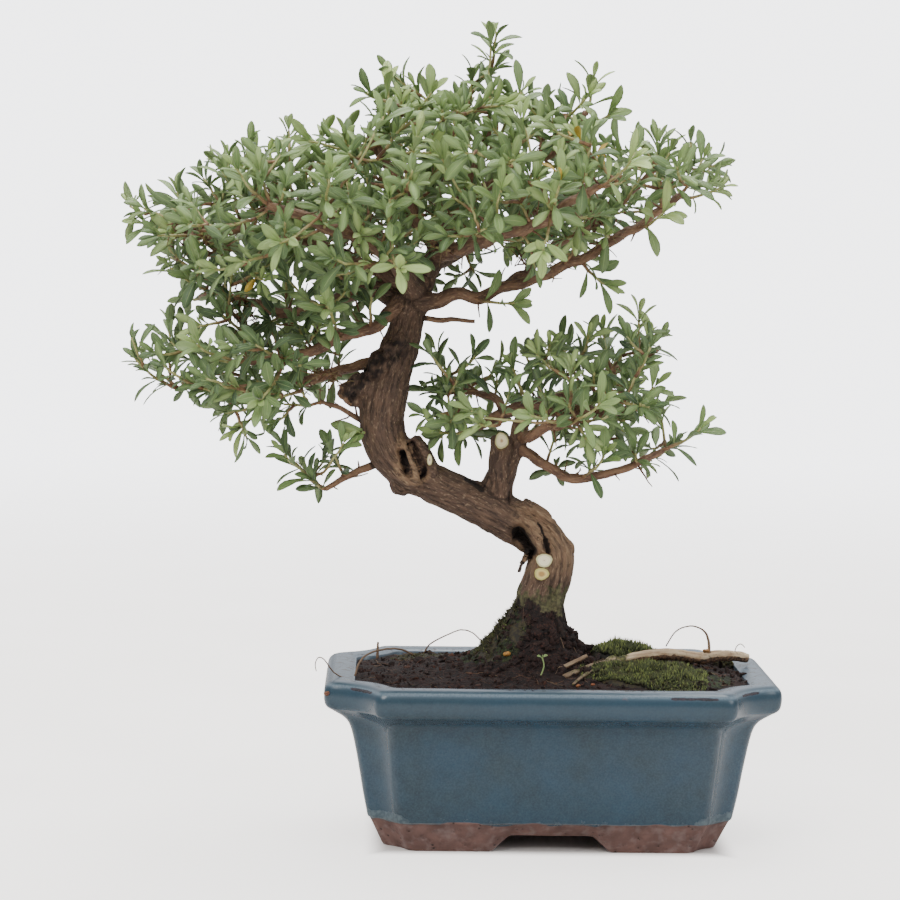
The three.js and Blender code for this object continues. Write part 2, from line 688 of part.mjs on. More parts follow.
place('pot', geometryOf(makePot()), looks.glaze);
place('drain_mesh_left', geometryOf(makeDrainMesh(-drainHole.x)), looks.mesh);
place('drain_mesh_right', geometryOf(makeDrainMesh(drainHole.x)), looks.mesh);
place('soil', geometryOf(mainPiece(soilSolid)), looks.soil);
place('trunk', geometryOf(makeTrunk()), looks.bark);

const raisedSoil = soilBlock(gap);
const bank = cut(mossPatch(mossBank).intersect(room), raisedSoil, fatDeadRoot, fatTwig, fatWood);
const collar = cut(mossPatch(mossCollar), raisedSoil, fatWood);
place('moss_bank', geometryOf(mainPiece(bank)), looks.moss);
place('moss_collar', geometryOf(mainPiece(collar)), looks.moss);
place('dead_root', geometryOf(bar(deadRoot, 5, 8)), looks.deadRoot);
place('pruned_twig', geometryOf(bar(prunedTwig, 6, 1)), looks.deadRoot);
place('seedling', geometryOf(makeSeedling()), looks.seedling);
for (const { name, body } of makeSprays(fatWood)) {
  place(name, geometryOf(body), looks.leaf);
}

// The origin is under the middle of the whole, on the surface that it stands on.
const bounds = new THREE.Box3().setFromObject(bonsai);
const middle = bounds.getCenter(new THREE.Vector3());
bonsai.position.set(-middle.x, -middle.y, -bounds.min.z);
bonsai.updateMatrixWorld(true);

export default bonsai;
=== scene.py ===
import itertools
import math

import bpy
import numpy as np
from mathutils import Matrix, Vector


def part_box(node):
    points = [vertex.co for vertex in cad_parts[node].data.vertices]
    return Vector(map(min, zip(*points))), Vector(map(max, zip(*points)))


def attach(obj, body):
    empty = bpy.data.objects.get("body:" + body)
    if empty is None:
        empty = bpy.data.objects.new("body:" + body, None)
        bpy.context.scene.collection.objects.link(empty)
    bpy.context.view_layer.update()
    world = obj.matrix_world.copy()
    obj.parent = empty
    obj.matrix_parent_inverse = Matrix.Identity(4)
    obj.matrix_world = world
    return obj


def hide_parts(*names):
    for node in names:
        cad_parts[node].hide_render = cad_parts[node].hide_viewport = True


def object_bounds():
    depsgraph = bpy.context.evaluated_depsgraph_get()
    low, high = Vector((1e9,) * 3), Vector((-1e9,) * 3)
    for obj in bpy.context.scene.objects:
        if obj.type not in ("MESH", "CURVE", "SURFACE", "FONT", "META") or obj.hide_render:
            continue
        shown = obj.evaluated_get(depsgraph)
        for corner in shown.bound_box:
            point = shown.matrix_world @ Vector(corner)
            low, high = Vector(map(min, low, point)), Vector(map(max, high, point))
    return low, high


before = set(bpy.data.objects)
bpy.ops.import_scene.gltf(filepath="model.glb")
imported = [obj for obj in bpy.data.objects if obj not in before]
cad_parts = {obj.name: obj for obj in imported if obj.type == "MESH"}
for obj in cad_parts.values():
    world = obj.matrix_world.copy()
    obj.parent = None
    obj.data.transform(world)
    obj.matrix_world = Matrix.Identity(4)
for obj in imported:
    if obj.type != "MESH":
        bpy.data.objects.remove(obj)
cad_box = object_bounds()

MM = 0.001
pot_low, pot_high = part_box("pot")
FEET_LEVEL = -1.6
POT_PLACE = np.array([(pot_low.x + pot_high.x) / 2, (pot_low.y + pot_high.y) / 2,
                      pot_low.z - FEET_LEVEL * MM])
POT_LENGTH = (pot_high.x - pot_low.x) / MM
POT_DEPTH = (pot_high.y - pot_low.y) / MM
POT_HEIGHT = (pot_high.z - pot_low.z) / MM + FEET_LEVEL
POT_FLOOR = 10.5
POT_BOX = [
    (-POT_LENGTH / 2 + 0.02, -POT_DEPTH / 2 + 0.02, FEET_LEVEL),
    (POT_LENGTH / 2 - 0.02, POT_DEPTH / 2 - 0.02, POT_HEIGHT - 0.02),
]


def to_frame(points):
    return POT_PLACE + MM * np.asarray(points, dtype=float)


def show(name, data):
    """An object in the scene for a mesh, a lamp or a camera."""
    made = bpy.data.objects.new(name, data)
    bpy.context.collection.objects.link(made)
    return made


# Camera

CAMERA_PLACE = (-51.1, -803, 181.1)
CAMERA_YAW = math.radians(1.40)
CAMERA_PITCH = math.radians(4.54)
CAMERA_ROLL = math.radians(0.84)
CAMERA_LENS = 104.84


def place_camera():
    camera = show("camera", bpy.data.cameras.new("camera"))
    camera.data.lens = CAMERA_LENS
    camera.data.sensor_width = 36
    camera.data.clip_start = 0.02
    ahead = Vector((
        math.sin(CAMERA_YAW) * math.cos(CAMERA_PITCH),
        math.cos(CAMERA_YAW) * math.cos(CAMERA_PITCH),
        -math.sin(CAMERA_PITCH),
    ))
    level = Vector((math.cos(CAMERA_YAW), -math.sin(CAMERA_YAW), 0))
    upright = level.cross(ahead)
    right = math.cos(CAMERA_ROLL) * level + math.sin(CAMERA_ROLL) * upright
    top = -math.sin(CAMERA_ROLL) * level + math.cos(CAMERA_ROLL) * upright
    turn = Matrix((right, top, -ahead)).transposed().to_4x4()
    camera.matrix_world = Matrix.Translation(to_frame(CAMERA_PLACE)) @ turn
    bpy.context.scene.camera = camera


place_camera()


# Meshes

def set_values(mesh, values):
    """Named values at the mesh's points, for the materials to read."""
    for key, value in values.items():
        value = np.asarray(value, dtype=np.float32)
        kind, field = ("FLOAT_VECTOR", "vector") if value.ndim == 2 else ("FLOAT", "value")
        mesh.attributes.new(key, kind, "POINT").data.foreach_set(field, value.ravel())


def make_object(name, points, faces, material=None, values=None, smooth=True):
    """A mesh object from points in metres and arrays of faces, one for each count of corners."""
    mesh = bpy.data.meshes.new(name)
    points = np.asarray(points, dtype=np.float32)
    faces = [np.asarray(group, dtype=np.int32) for group in faces if len(group)]
    corners = np.concatenate([group.ravel() for group in faces])
    sizes = np.concatenate([np.full(len(group), group.shape[1]) for group in faces])
    mesh.vertices.add(len(points))
    mesh.vertices.foreach_set("co", points.ravel())
    mesh.loops.add(len(corners))
    mesh.loops.foreach_set("vertex_index", corners)
    mesh.polygons.add(len(sizes))
    starts = np.concatenate([[0], np.cumsum(sizes)[:-1]]).astype(np.int32)
    mesh.polygons.foreach_set("loop_start", starts)
    mesh.update(calc_edges=True)
    mesh.polygons.foreach_set("use_smooth", np.full(len(sizes), smooth))
    set_values(mesh, values or {})
    if material:
        mesh.materials.append(material)
    return show(name, mesh)


class Pile:
    """Closed meshes in pot millimetres, made one piece. A single value holds for all points."""

    def __init__(self):
        self.points = []
        self.faces = {}
        self.values = {}
        self.count = 0

    def add(self, points, faces, **values):
        for group in faces:
            group = np.asarray(group)
            if len(group):
                self.faces.setdefault(group.shape[1], []).append(group + self.count)
        self.points.append(np.asarray(points, dtype=float))
        for key, value in values.items():
            value = np.asarray(value, dtype=float)
            if value.shape[:1] != (len(points),):
                value = np.broadcast_to(value, (len(points),) + value.shape)
            self.values.setdefault(key, []).append(value)
        self.count += len(points)

    def make(self, name, material, smooth=True):
        faces = [np.concatenate(group) for group in self.faces.values()]
        values = {key: np.concatenate(value) for key, value in self.values.items()}
        points = to_frame(np.concatenate(self.points))
        return make_object(name, points, faces, material, values, smooth)

    def finish(self, name, material, slot, *nodes, smooth=True):
        return finish_piece(self.make(name, material, smooth), slot, *nodes)


def finish_piece(made, slot, *nodes):
    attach(made, "root")
    if nodes:
        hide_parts(*nodes)
    return made


def unit(vectors):
    vectors = np.asarray(vectors, dtype=float)
    return vectors / np.maximum(np.linalg.norm(vectors, axis=-1, keepdims=True), 1e-9)


def noise(points, size, seed=0):
    """Smooth noise, from about -1 to 1, whose lumps measure size."""
    place = np.asarray(points, dtype=float) / size
    cell = np.floor(place).astype(np.int64)
    part = place - cell
    ease = part ** 3 * (part * (6 * part - 15) + 10)
    total = np.zeros(len(place))
    for corner in itertools.product((0, 1), repeat=3):
        x, y, z = (cell + corner).T
        key = (x * 73856093 ^ y * 19349663 ^ z * 83492791 ^ seed * 2654435761) & 0xFFFFFFFF
        key = ((key ^ (key >> 15)) * 2246822519) & 0xFFFFFFFF
        key ^= key >> 13
        slope = np.stack([key & 1023, (key >> 10) & 1023, (key >> 20) & 1023], axis=-1) / 511.5 - 1
        weight = np.prod(np.where(corner, ease, 1 - ease), axis=-1)
        total += weight * np.sum(slope * (part - corner), axis=-1)
    return 1.3 * total


def lumps(points, size, octaves, seed=0):
    """Noise with finer noise on it, each octave half as large and half as strong."""
    return sum(noise(points, size / 2 ** k, seed + k) / 2 ** k for k in range(octaves))


def ease(value, low, high):
    part = np.clip((value - low) / (high - low), 0, 1)
    return part * part * (3 - 2 * part)


def curve_through(line, per_span):
    """Points on a smooth curve through the given ones, with their further columns, if any."""
    line = np.asarray(line, dtype=float)
    padded = np.vstack([2 * line[0] - line[1], line, 2 * line[-1] - line[-2]])
    t = steps(per_span)
    spans = []
    for a, b, c, d in zip(padded, padded[1:], padded[2:], padded[3:]):
        bend = (2 * a - 5 * b + 4 * c - d) * t ** 2 + (3 * b - a - 3 * c + d) * t ** 3
        spans.append(b + 0.5 * ((c - a) * t + bend))
    return np.vstack(spans + [line[-1:]])


def lengths_along(path):
    """How far along a line of points each of them lies."""
    return np.concatenate([[0], np.cumsum(np.linalg.norm(np.diff(path[:, :3], axis=0), axis=1))])


def bent(t, a, b, c):
    """A place on the curve from a to c that is drawn towards b, at a share t of the way."""
    return (1 - t) ** 2 * a + 2 * t * (1 - t) * b + t ** 2 * c


def steps(count):
    return (np.arange(count) / count)[:, None]


def circle(sides):
    """Angles round a circle, their cosines and their sines."""
    angles = np.arange(sides) / sides * 2 * math.pi
    return angles, np.cos(angles), np.sin(angles)


def flat_points(x, y):
    return np.column_stack([x, y, 0 * x])


def frames_along(path):
    """Tangents, and two directions across them that don't twist."""
    tangents = unit(np.gradient(path, axis=0))
    start = np.eye(3)[np.argmin(np.abs(tangents[0]))]
    normals = []
    for tangent in tangents:
        start = unit(start - tangent * np.dot(start, tangent))
        normals.append(start)
    normals = np.array(normals)
    return tangents, normals, np.cross(tangents, normals)


def ring_faces(rings, count):
    """Quads between rings of equal counts of points."""
    level, i = np.meshgrid(np.arange(rings - 1), np.arange(count), indexing="ij")
    a = (level * count + i).ravel()
    b = (level * count + (i + 1) % count).ravel()
    return np.stack([a, b, b + count, a + count], axis=-1)


def closed_tube(rings):
    """Points and faces of a tube through (rings, sides, 3) points, closed round two hubs."""
    many, sides = rings.shape[:2]
    points = np.vstack([rings.reshape(-1, 3), rings[0].mean(axis=0), rings[-1].mean(axis=0)])
    i = np.arange(sides)
    j = (i + 1) % sides
    hub = many * sides
    end = hub - sides
    first = np.stack([j, i, np.full(sides, hub)], axis=-1)
    last = np.stack([i + end, j + end, np.full(sides, hub + 1)], axis=-1)
    return points, [ring_faces(many, sides), np.vstack([first, last])]


def tube_rings(path, sides):
    tangents, normals, sideways = frames_along(path[:, :3])
    _, cosines, sines = circle(sides)
    spokes = cosines[None, :, None] * normals[:, None] + sines[None, :, None] * sideways[:, None]
    return path[:, None, :3] + path[:, None, 3:4] * spokes


def add_tube(pile, path, sides, **values):
    pile.add(*closed_tube(tube_rings(path, sides)), **values)


def applied(made, kind, **settings):
    """The object's mesh with one modifier applied, as a new mesh; the object is removed."""
    modifier = made.modifiers.new("work", kind)
    for key, value in settings.items():
        setattr(modifier, key, value)
    graph = bpy.context.evaluated_depsgraph_get()
    mesh = bpy.data.meshes.new_from_object(made.evaluated_get(graph))
    bpy.data.objects.remove(made)
    return mesh


def read_vectors(items, field):
    """One vector for each of a mesh's items, such as its vertices."""
    vectors = np.empty(len(items) * 3, dtype=np.float32)
    items.foreach_get(field, vectors)
    return vectors.reshape(-1, 3).astype(float)


# Node trees

def paint(code):
    """A colour such as "7a5f49" as linear red, green, blue and alpha."""
    parts = [int(code[i:i + 2], 16) / 255 for i in (0, 2, 4)]
    return tuple(c / 12.92 if c <= 0.04045 else ((c + 0.055) / 1.055) ** 2.4 for c in parts) + (1,)


class Bench:
    """Sets nodes in one tree and joins them up. Sizes and depths are in millimetres."""

    def __init__(self, tree):
        self.tree = tree

    def feed(self, socket, value):
        """Joins a socket to another one, or sets it to a value or to a colour's code."""
        if isinstance(value, bpy.types.NodeSocket):
            self.tree.links.new(value, socket)
        else:
            socket.default_value = paint(value) if isinstance(value, str) else value

    def node(self, kind, inputs=None, **settings):
        made = self.tree.nodes.new("ShaderNode" + kind)
        for key, value in settings.items():
            setattr(made, key, value)
        for socket, value in (inputs or {}).items():
            self.feed(made.inputs[socket], value)
        return made

    def math(self, operation, *values):
        return self.node("Math", dict(enumerate(values)), operation=operation).outputs[0]

    def times(self, first, *others):
        for other in others:
            first = self.math("MULTIPLY", first, other)
        return first

    def times_plus(self, value, factor, added):
        return self.math("MULTIPLY_ADD", value, factor, added)

    def span(self, value, low, high, start=0.0, end=1.0):
        inputs = {0: value, 1: low, 2: high, 3: start, 4: end}
        return self.node("MapRange", inputs, interpolation_type="SMOOTHSTEP").outputs[0]

    def mix(self, share, first, second):
        return self.node("Mix", {0: share, 6: first, 7: second}, data_type="RGBA").outputs[2]

    def layers(self, colour, *coats):
        """Colours laid over one another, each as (share, colour) or (share, colour, strength)."""
        for share, coat, *strength in coats:
            colour = self.mix(self.times(share, *strength), colour, coat)
        return colour

    def parts(self, vector):
        return self.node("SeparateXYZ", {0: vector}).outputs

    def value(self, name):
        return self.node("Attribute", attribute_name=name).outputs["Fac"]

    def vector(self, name):
        return self.node("Attribute", attribute_name=name).outputs["Vector"]

    def place(self):
        return self.node("TexCoord").outputs["Object"]

    def effect(self, group, **inputs):
        made = self.node("Group")
        made.node_tree = group
        for socket, value in inputs.items():
            self.feed(made.inputs[socket], value)
        return made.outputs

    def patches(self, position, size, low, high, stretch=(1, 1, 1)):
        made = self.effect(blotches, Position=position, Size=size, Stretch=stretch,
                           Low=low, High=high)
        return made["Mask"]

    def grit(self, position, size, pits):
        return self.effect(grit, Position=position, Size=size, Pits=pits)["Height"]

    def stain(self, position, amount, size, dark, light):
        """A stain's mask and colour, as the start of a layer."""
        made = self.effect(stain, Position=position, Amount=amount, Size=size,
                           Dark=dark, Light=light)
        return made["Mask"], made["Colour"]

    def finish(self, colour, roughness, height=None, depth=0.0, **others):
        """The material, with a bump of the given depth. Further inputs have _ for each space."""
        inputs = {"Base Color": colour, "Roughness": roughness, **others}
        if height is not None:
            relief = self.node("Bump", {"Height": height, "Distance": depth * MM, "Strength": 1.0})
            inputs["Normal"] = relief.outputs[0]
        for name, value in inputs.items():
            self.feed(self.surface[name.replace("_", " ")], value)
        return self.material


def new_effect(name, inputs, outputs):
    """An empty shader node group. Inputs are given as name=default, outputs as name=kind."""
    group = bpy.data.node_groups.new(name, "ShaderNodeTree")
    kinds = {float: "NodeSocketFloat", 3: "NodeSocketVector", 4: "NodeSocketColor"}
    for label, value in inputs.items():
        kind = kinds[float if isinstance(value, float) else len(value)]
        group.interface.new_socket(label, in_out="INPUT", socket_type=kind).default_value = value
    for label, kind in outputs.items():
        group.interface.new_socket(label, in_out="OUTPUT", socket_type=kinds[kind])
    given = group.nodes.new("NodeGroupInput").outputs
    return Bench(group), given, group.nodes.new("NodeGroupOutput").inputs


def blotch_effect():
    """Soft patches. Size is in millimetres, and Stretch squeezes them along an axis."""
    inputs = {"Position": (0, 0, 0), "Size": 5.0, "Stretch": (1, 1, 1), "Low": 0.4, "High": 0.6}
    bench, given, out = new_effect("blotches", inputs, {"Mask": float})
    place = bench.node("VectorMath", {0: given["Position"], 1: given["Stretch"]},
                       operation="MULTIPLY")
    scale = bench.math("DIVIDE", 1000.0, given["Size"])
    cloud = bench.node("TexNoise", {"Vector": place.outputs[0], "Scale": scale, "Detail": 3.0})
    mask = bench.node("MapRange", {0: cloud.outputs[0], 1: given["Low"], 2: given["High"]})
    bench.feed(out["Mask"], mask.outputs[0])
    return bench.tree


def grit_effect():
    """A rough height: fine noise with round pits of the same size in it."""
    inputs = {"Position": (0, 0, 0), "Size": 1.0, "Pits": 0.5}
    bench, given, out = new_effect("grit", inputs, {"Height": float})
    scale = bench.math("DIVIDE", 1000.0, given["Size"])
    cloud = bench.node("TexNoise", {"Vector": given["Position"], "Scale": scale, "Detail": 4.0})
    cells = bench.node("TexVoronoi", {"Vector": given["Position"], "Scale": scale})
    pit = bench.times(bench.span(cells.outputs["Distance"], 0.0, 0.45, 1.0, 0.0), given["Pits"])
    bench.feed(out["Height"], bench.math("SUBTRACT", cloud.outputs[0], pit))
    return bench.tree


def stain_effect():
    """A stain that spreads in ragged patches as Amount goes from 0 to 1, in two shades."""
    inputs = {"Position": (0, 0, 0), "Amount": 0.5, "Size": 3.0,
              "Dark": (0, 0, 0, 1), "Light": (1, 1, 1, 1)}
    bench, given, out = new_effect("stain", inputs, {"Mask": float, "Colour": 4})
    scale = bench.math("DIVIDE", 1000.0, given["Size"])
    cloud = bench.node("TexNoise", {"Vector": given["Position"], "Scale": scale, "Detail": 5.0,
                                    "Roughness": 0.62})
    reach = bench.times_plus(given["Amount"], 1.3, -0.95)
    level = bench.times_plus(cloud.outputs[0], 0.9, reach)
    bench.feed(out["Mask"], bench.span(level, 0.0, 0.16))
    finer = bench.times(scale, 2.6)
    shades = bench.node("TexNoise", {"Vector": given["Position"], "Scale": finer, "Detail": 2.0})
    shade = bench.span(shades.outputs[0], 0.36, 0.64)
    bench.feed(out["Colour"], bench.mix(shade, given["Dark"], given["Light"]))
    return bench.tree


def vein_effect():
    """A leaf's veins and margin. Place is across -1 to 1, along 0 to 1 and under 0 or 1."""
    outputs = {"Midrib": float, "Side Veins": float, "Margin": float}
    bench, given, out = new_effect("leaf veins", {"Place": (0, 0, 0)}, outputs)
    across, along, _ = bench.parts(given["Place"])
    aside = bench.math("ABSOLUTE", across)
    width = bench.span(along, 0.0, 1.0, 0.2, 0.07)
    midrib = bench.node("MapRange", {0: aside, 1: 0.0, 2: width, 3: 1.0, 4: 0.0})
    bench.feed(out["Midrib"], midrib.outputs[0])
    slant = bench.times_plus(aside, -1.7, bench.times(along, 9.0))
    wave = bench.math("ABSOLUTE", bench.math("SINE", bench.times(slant, math.pi)))
    bench.feed(out["Side Veins"], bench.span(wave, 0.0, 0.3, 1.0, 0.0))
    bench.feed(out["Margin"], bench.span(aside, 0.8, 1.0))
    return bench.tree


blotches = blotch_effect()
grit = grit_effect()
stain = stain_effect()
veins = vein_effect()


def new_material(name):
    """A bench for a new material's tree."""
    material = bpy.data.materials.new(name)
    material.use_nodes = True
    bench = Bench(material.node_tree)
    bench.material = material
    bench.surface = material.node_tree.nodes["Principled BSDF"].inputs
    return bench


def glaze_material():
    """Blue-grey glaze over brown clay, with the clay bare on the feet."""
    bench = new_material("blue_grey_glaze")
    place = bench.place()
    height = bench.times_plus(bench.parts(place)[2], 1000.0, -POT_PLACE[2] / MM)
    edge, corner, rim = bench.value("edge"), bench.value("corner"), bench.value("rim")
    mottle = bench.patches(place, 3.0, 0.25, 0.75, (1, 1, 0.7))
    fine = bench.patches(place, 0.55, 0.35, 0.75)
    # Painted shade: the cove under the lip is painted darker.
    shade_under_lip = bench.times(bench.span(height, 38.0, 40.6),
                            bench.span(height, 40.2, 42.4, 1.0, 0.0))
    breaks = bench.stain(place, bench.times(edge, 0.6), 4.0, "3a2e36", "5d4c4c")
    worn = bench.times(bench.span(edge, 0.3, 0.95), bench.span(mottle, 0.0, 1.0, 0.35, 0.75),
                       bench.span(height, 36.0, 40.0, 1.0, 0.0))
    near_end = bench.times(bench.span(height, 6.0, 7.5), bench.span(height, 7.6, 13.5, 1.0, 0.0))
    lime_amount = bench.times(near_end, bench.span(corner, 0.0, 1.0, 0.38, 0.72))
    lime = bench.stain(place, lime_amount, 3.5, "46565e", "6c7a7e")
    glaze = bench.layers(
        bench.mix(mottle, "23343f", "2c404b"),
        (bench.patches(place, 19.0, 0.4, 0.62), "24445a", 0.55),
        (fine, "45606d", 0.28),
        (bench.value("lip"), "2a404d", 0.6),
        # Painted shade in the cove under the lip.
        (shade_under_lip, "3d3f45", 0.2),
        (*breaks, bench.span(height, 45.0, 47.0, 0.0, 0.7)),
        (worn, "6d7072"),
        # Painted highlight: a pale line along the top of the lip's front.
        (bench.value("bead"), "8b9daa", bench.span(fine, 0.0, 1.0, 0.75, 0.45)),
        (*bench.stain(place, bench.value("chafed"), 2.0, "1c1418", "33262c"), 0.9),
        # Painted reflection: the rim's top is painted pale, as the bright sky shows in it at a low
        # angle.
        (rim, "76838f", 0.75),
        (*lime, bench.span(corner, 0.0, 1.0, 0.3, 0.6)),
        (*bench.stain(place, bench.times(rim, 0.38), 2.2, "241a18", "443830"), 0.7),
    )
    pits = bench.grit(place, 2.4, 0.9)
    clay = bench.layers(
        bench.mix(bench.patches(place, 6.0, 0.3, 0.7), "58413b", "785a52"),
        (bench.span(pits, -0.4, -0.1, 0.8, 0.0), "1c100e"),
        (bench.patches(place, 3.2, 0.5, 0.7), "8c7c78", 0.42),
    )
    wander = bench.node("TexNoise", {"Vector": place, "Scale": 90.0, "Detail": 2.0}).outputs[0]
    above = bench.math("SUBTRACT", height, bench.span(wander, 0.3, 0.7, 6.6, 8.2))
    glazed = bench.span(above, -0.15, 0.25)
    gloss = bench.span(glazed, 0.0, 1.0, 0.85, bench.times_plus(lime[0], 0.3, 0.25))
    under = bench.times(bench.span(height, 34.0, 37.5), bench.span(height, 43.0, 45.5, 1.0, 0.0))
    relief = bench.times_plus(bench.grit(place, 3.4, 0.0), bench.span(under, 0.0, 1.0, 0.07, 0.0),
                              bench.times(bench.math("SUBTRACT", 1.0, glazed), pits))
    return bench.finish(bench.mix(glazed, clay, glaze), gloss, relief, 0.35, IOR=1.52)


def net_material():
    """Moulded black plastic net."""
    bench = new_material("black_plastic_net")
    place = bench.place()
    dust = bench.stain(place, 0.42, 2.0, "3a2a22", "5a463a")
    gloss = bench.span(dust[0], 0.0, 1.0, 0.42, 0.9)
    return bench.finish(bench.layers("17181a", dust), gloss, bench.grit(place, 0.5, 0.1), 0.04)


def soil_material(name, dark, light, crumb):
    """Damp reddish-brown peat. The tone attribute makes single crumbs lighter or redder."""
    bench = new_material(name)
    place = bench.place()
    colour = bench.layers(
        bench.mix(bench.patches(place, 2.4, 0.36, 0.66), dark, light),
        (bench.patches(place, 0.7, 0.56, 0.68), crumb, 0.55),
        (bench.patches(place, 0.9, 0.6, 0.68, (0.2, 1, 1)), "54392d", 0.3),
        (bench.value("tone"), "4e2f23"),
        bench.stain(place, bench.times(bench.value("mossy"), 0.75), 3.0, "12160b", "2c3518"),
    )
    return bench.finish(colour, 0.94, bench.grit(place, 0.8, 0.5), 0.5)


def bark_material():
    """Fissured brown bark, smoother and redder on thin wood, green with algae near the soil. Its
    cracks, dents and slots are painted near black as painted shade.
    """
    bench = new_material("brown_bark")
    grain = bench.vector("grain")
    girth = bench.value("girth")
    plates = bench.patches(grain, 1.9, 0.36, 0.64, (1, 1, 0.3))
    threads = bench.patches(grain, 0.55, 0.42, 0.62, (1, 1, 0.16))
    flecks = bench.patches(grain, 0.5, 0.57, 0.67, (1, 1, 0.35))
    old = bench.mix(plates, "59463a", "6d5544")
    old = bench.layers(old, (threads, "40322a", 0.42), (flecks, "9a8268", 0.6))
    young = bench.layers(bench.mix(plates, "654938", "8c6b50"), (flecks, "b0906c", 0.5))
    # Painted shade: the bark is painted darker in its cracks.
    cracks = bench.times(bench.patches(grain, 0.9, 0.55, 0.63, (1, 1, 0.15)),
                         bench.span(girth, 1.5, 4.0))
    deep = bench.math("MAXIMUM", bench.span(bench.value("painted_shade_and_scars"), 0.25, 0.8),
                      bench.times(cracks, 0.45))
    pale = bench.mix(threads, "8d6f53", "b0926e")
    colour = bench.layers(
        bench.mix(bench.span(girth, 1.2, 3.6), young, old),
        # Painted shade in cracks, dents and slots, with the real dark of the wound and the snag's
        # end.
        (deep, "1a120f", 0.93),
        (bench.value("bare"), pale, bench.span(deep, 0.0, 0.7, 1.0, 0.05)),
        (*bench.stain(grain, bench.value("mossy"), 3.0, "343a22", "626540"), 0.7),
        bench.stain(grain, bench.value("earthy"), 1.6, "0f0a09", "2e1e17"),
    )
    relief = bench.times_plus(threads, -0.3, bench.times(plates, 0.5))
    relief = bench.times_plus(cracks, -0.8, relief)
    relief = bench.times_plus(bench.grit(grain, 0.45, 0.3), 0.3, relief)
    return bench.finish(colour, bench.span(girth, 1.0, 4.0, 0.62, 0.86), relief, 0.45)


def cut_material():
    """Sawn cream wood with faint rings round the pith. rings runs from 0 at the pith to 1."""
    bench = new_material("cut_wood")
    place = bench.place()
    out = bench.value("rings")
    warm = bench.value("warm")
    wobble = bench.node("TexNoise", {"Vector": place, "Scale": 500.0}).outputs[0]
    wave = bench.math("SINE", bench.times_plus(out, 24.0, bench.times(wobble, 5.0)))
    heart = bench.span(out, bench.times(warm, 0.25), bench.times_plus(warm, 0.4, 0.15), 0.75, 0.0)
    colour = bench.layers(
        bench.mix(bench.span(wave, -1.0, 1.0, 0.0, 0.4), "fff6d6", "ecd9a4"),
        (bench.span(warm, 0.0, 1.0, 0.0, 0.75), "d3bc58"),
        (bench.span(out, 0.55, 0.85), "a5a85c", 0.6),
        (heart, "a8743f"),
        (bench.span(out, 0.86, 0.97), "6a5030"),
        (*bench.stain(place, 0.3, 1.6, "5a4630", "9a835a"), 0.6),
    )
    return bench.finish(colour, 0.7, bench.grit(place, 0.5, 0.3), 0.1)


def dead_wood_material():
    """Dead wood without bark: pale tan with fine lengthwise grain, its darker threads in the grain,
    and a ragged dark stain on the sides that face down, which is painted shade.
    """
    bench = new_material("pale_dead_wood")
    grain = bench.vector("grain")
    threads = bench.patches(grain, 0.7, 0.38, 0.66, (1, 1, 0.1))
    facing = bench.parts(bench.node("NewGeometry").outputs["Normal"])[2]
    # Painted shade: the more a side faces down, the more of the dark stain it takes.
    underside_shade = bench.span(bench.span(facing, -0.5, 0.35, 1.0, 0.0), 0.0, 1.0, 0.33, 0.85)
    colour = bench.layers(
        bench.mix(threads, "957b60", "c3ad8c"),
        (bench.patches(grain, 2.6, 0.4, 0.64, (1, 1, 0.5)), "d2c0a2", 0.5),
        (bench.value("tone"), "4a3023"),
        # Painted shade on the sides that face down.
        bench.stain(grain, underside_shade, 2.0, "33241a", "6a4f38"),
        bench.stain(grain, bench.value("mossy"), 2.4, "33341a", "66653a"),
    )
    relief = bench.times_plus(threads, 0.6, bench.grit(grain, 0.8, 0.4))
    return bench.finish(colour, 0.8, relief, 0.22)


def moss_material():
    """Moss shoots: dark at the foot, yellow-green at the tip. rise runs from 0 to 1 up a shoot."""
    bench = new_material("moss")
    place = bench.place()
    tip = bench.layers(bench.mix(bench.patches(place, 5.0, 0.38, 0.62), "2c3719", "4c5829"),
                       (bench.value("tone"), "87914a"))
    colour = bench.layers("14140c", (bench.span(bench.value("rise"), 0.15, 1.0), tip),
                          (*bench.stain(place, bench.value("old"), 3.0, "1a150c", "3b3319"), 0.8))
    return bench.finish(colour, 0.75, bench.grit(place, 0.4, 0.4), 0.08,
                        Subsurface_Weight=0.1, Subsurface_Radius=(0.0008, 0.001, 0.0003))


def leaf_material():
    """Glossy leaves with a pale midrib. leaf_tone holds lightness, youth and yellowing; the
    lightness is painted light and shade, lighter near the top and the outside of the masses.
    """
    bench = new_material("coprosma_leaf")
    place = bench.vector("leaf_place")
    light, youth, yellow = bench.parts(bench.vector("leaf_tone"))
    under = bench.parts(place)[2]
    vein = bench.effect(veins, Place=place)
    patches = bench.patches(bench.place(), 2.2, 0.35, 0.65)
    colour = bench.layers(
        # Painted light and shade: a shaded leaf colour and a lit one, mixed by each leaf's
        # lightness.
        bench.mix(light, "395039", "93ae66"),
        (patches, "5f7f4e", 0.24),
        (youth, "bfd584"),
        (vein["Side Veins"], "86a25c", 0.14),
        (vein["Margin"], "93ac68", 0.4),
        (vein["Midrib"], "a3b877", 0.6),
        (under, "8fa377", 0.55),
        (yellow, bench.mix(patches, "d8b64a", "b79a3c")),
    )
    relief = bench.times_plus(vein["Midrib"], -0.7, bench.times(vein["Side Veins"], -0.25))
    relief = bench.times_plus(bench.grit(bench.place(), 0.5, 0.2), 0.15, relief)
    return bench.finish(colour, bench.span(under, 0.2, 0.8, 0.4, 0.6), relief, 0.12,
                        Specular_IOR_Level=0.4, Subsurface_Weight=0.12,
                        Subsurface_Radius=(0.0006, 0.0012, 0.0003))


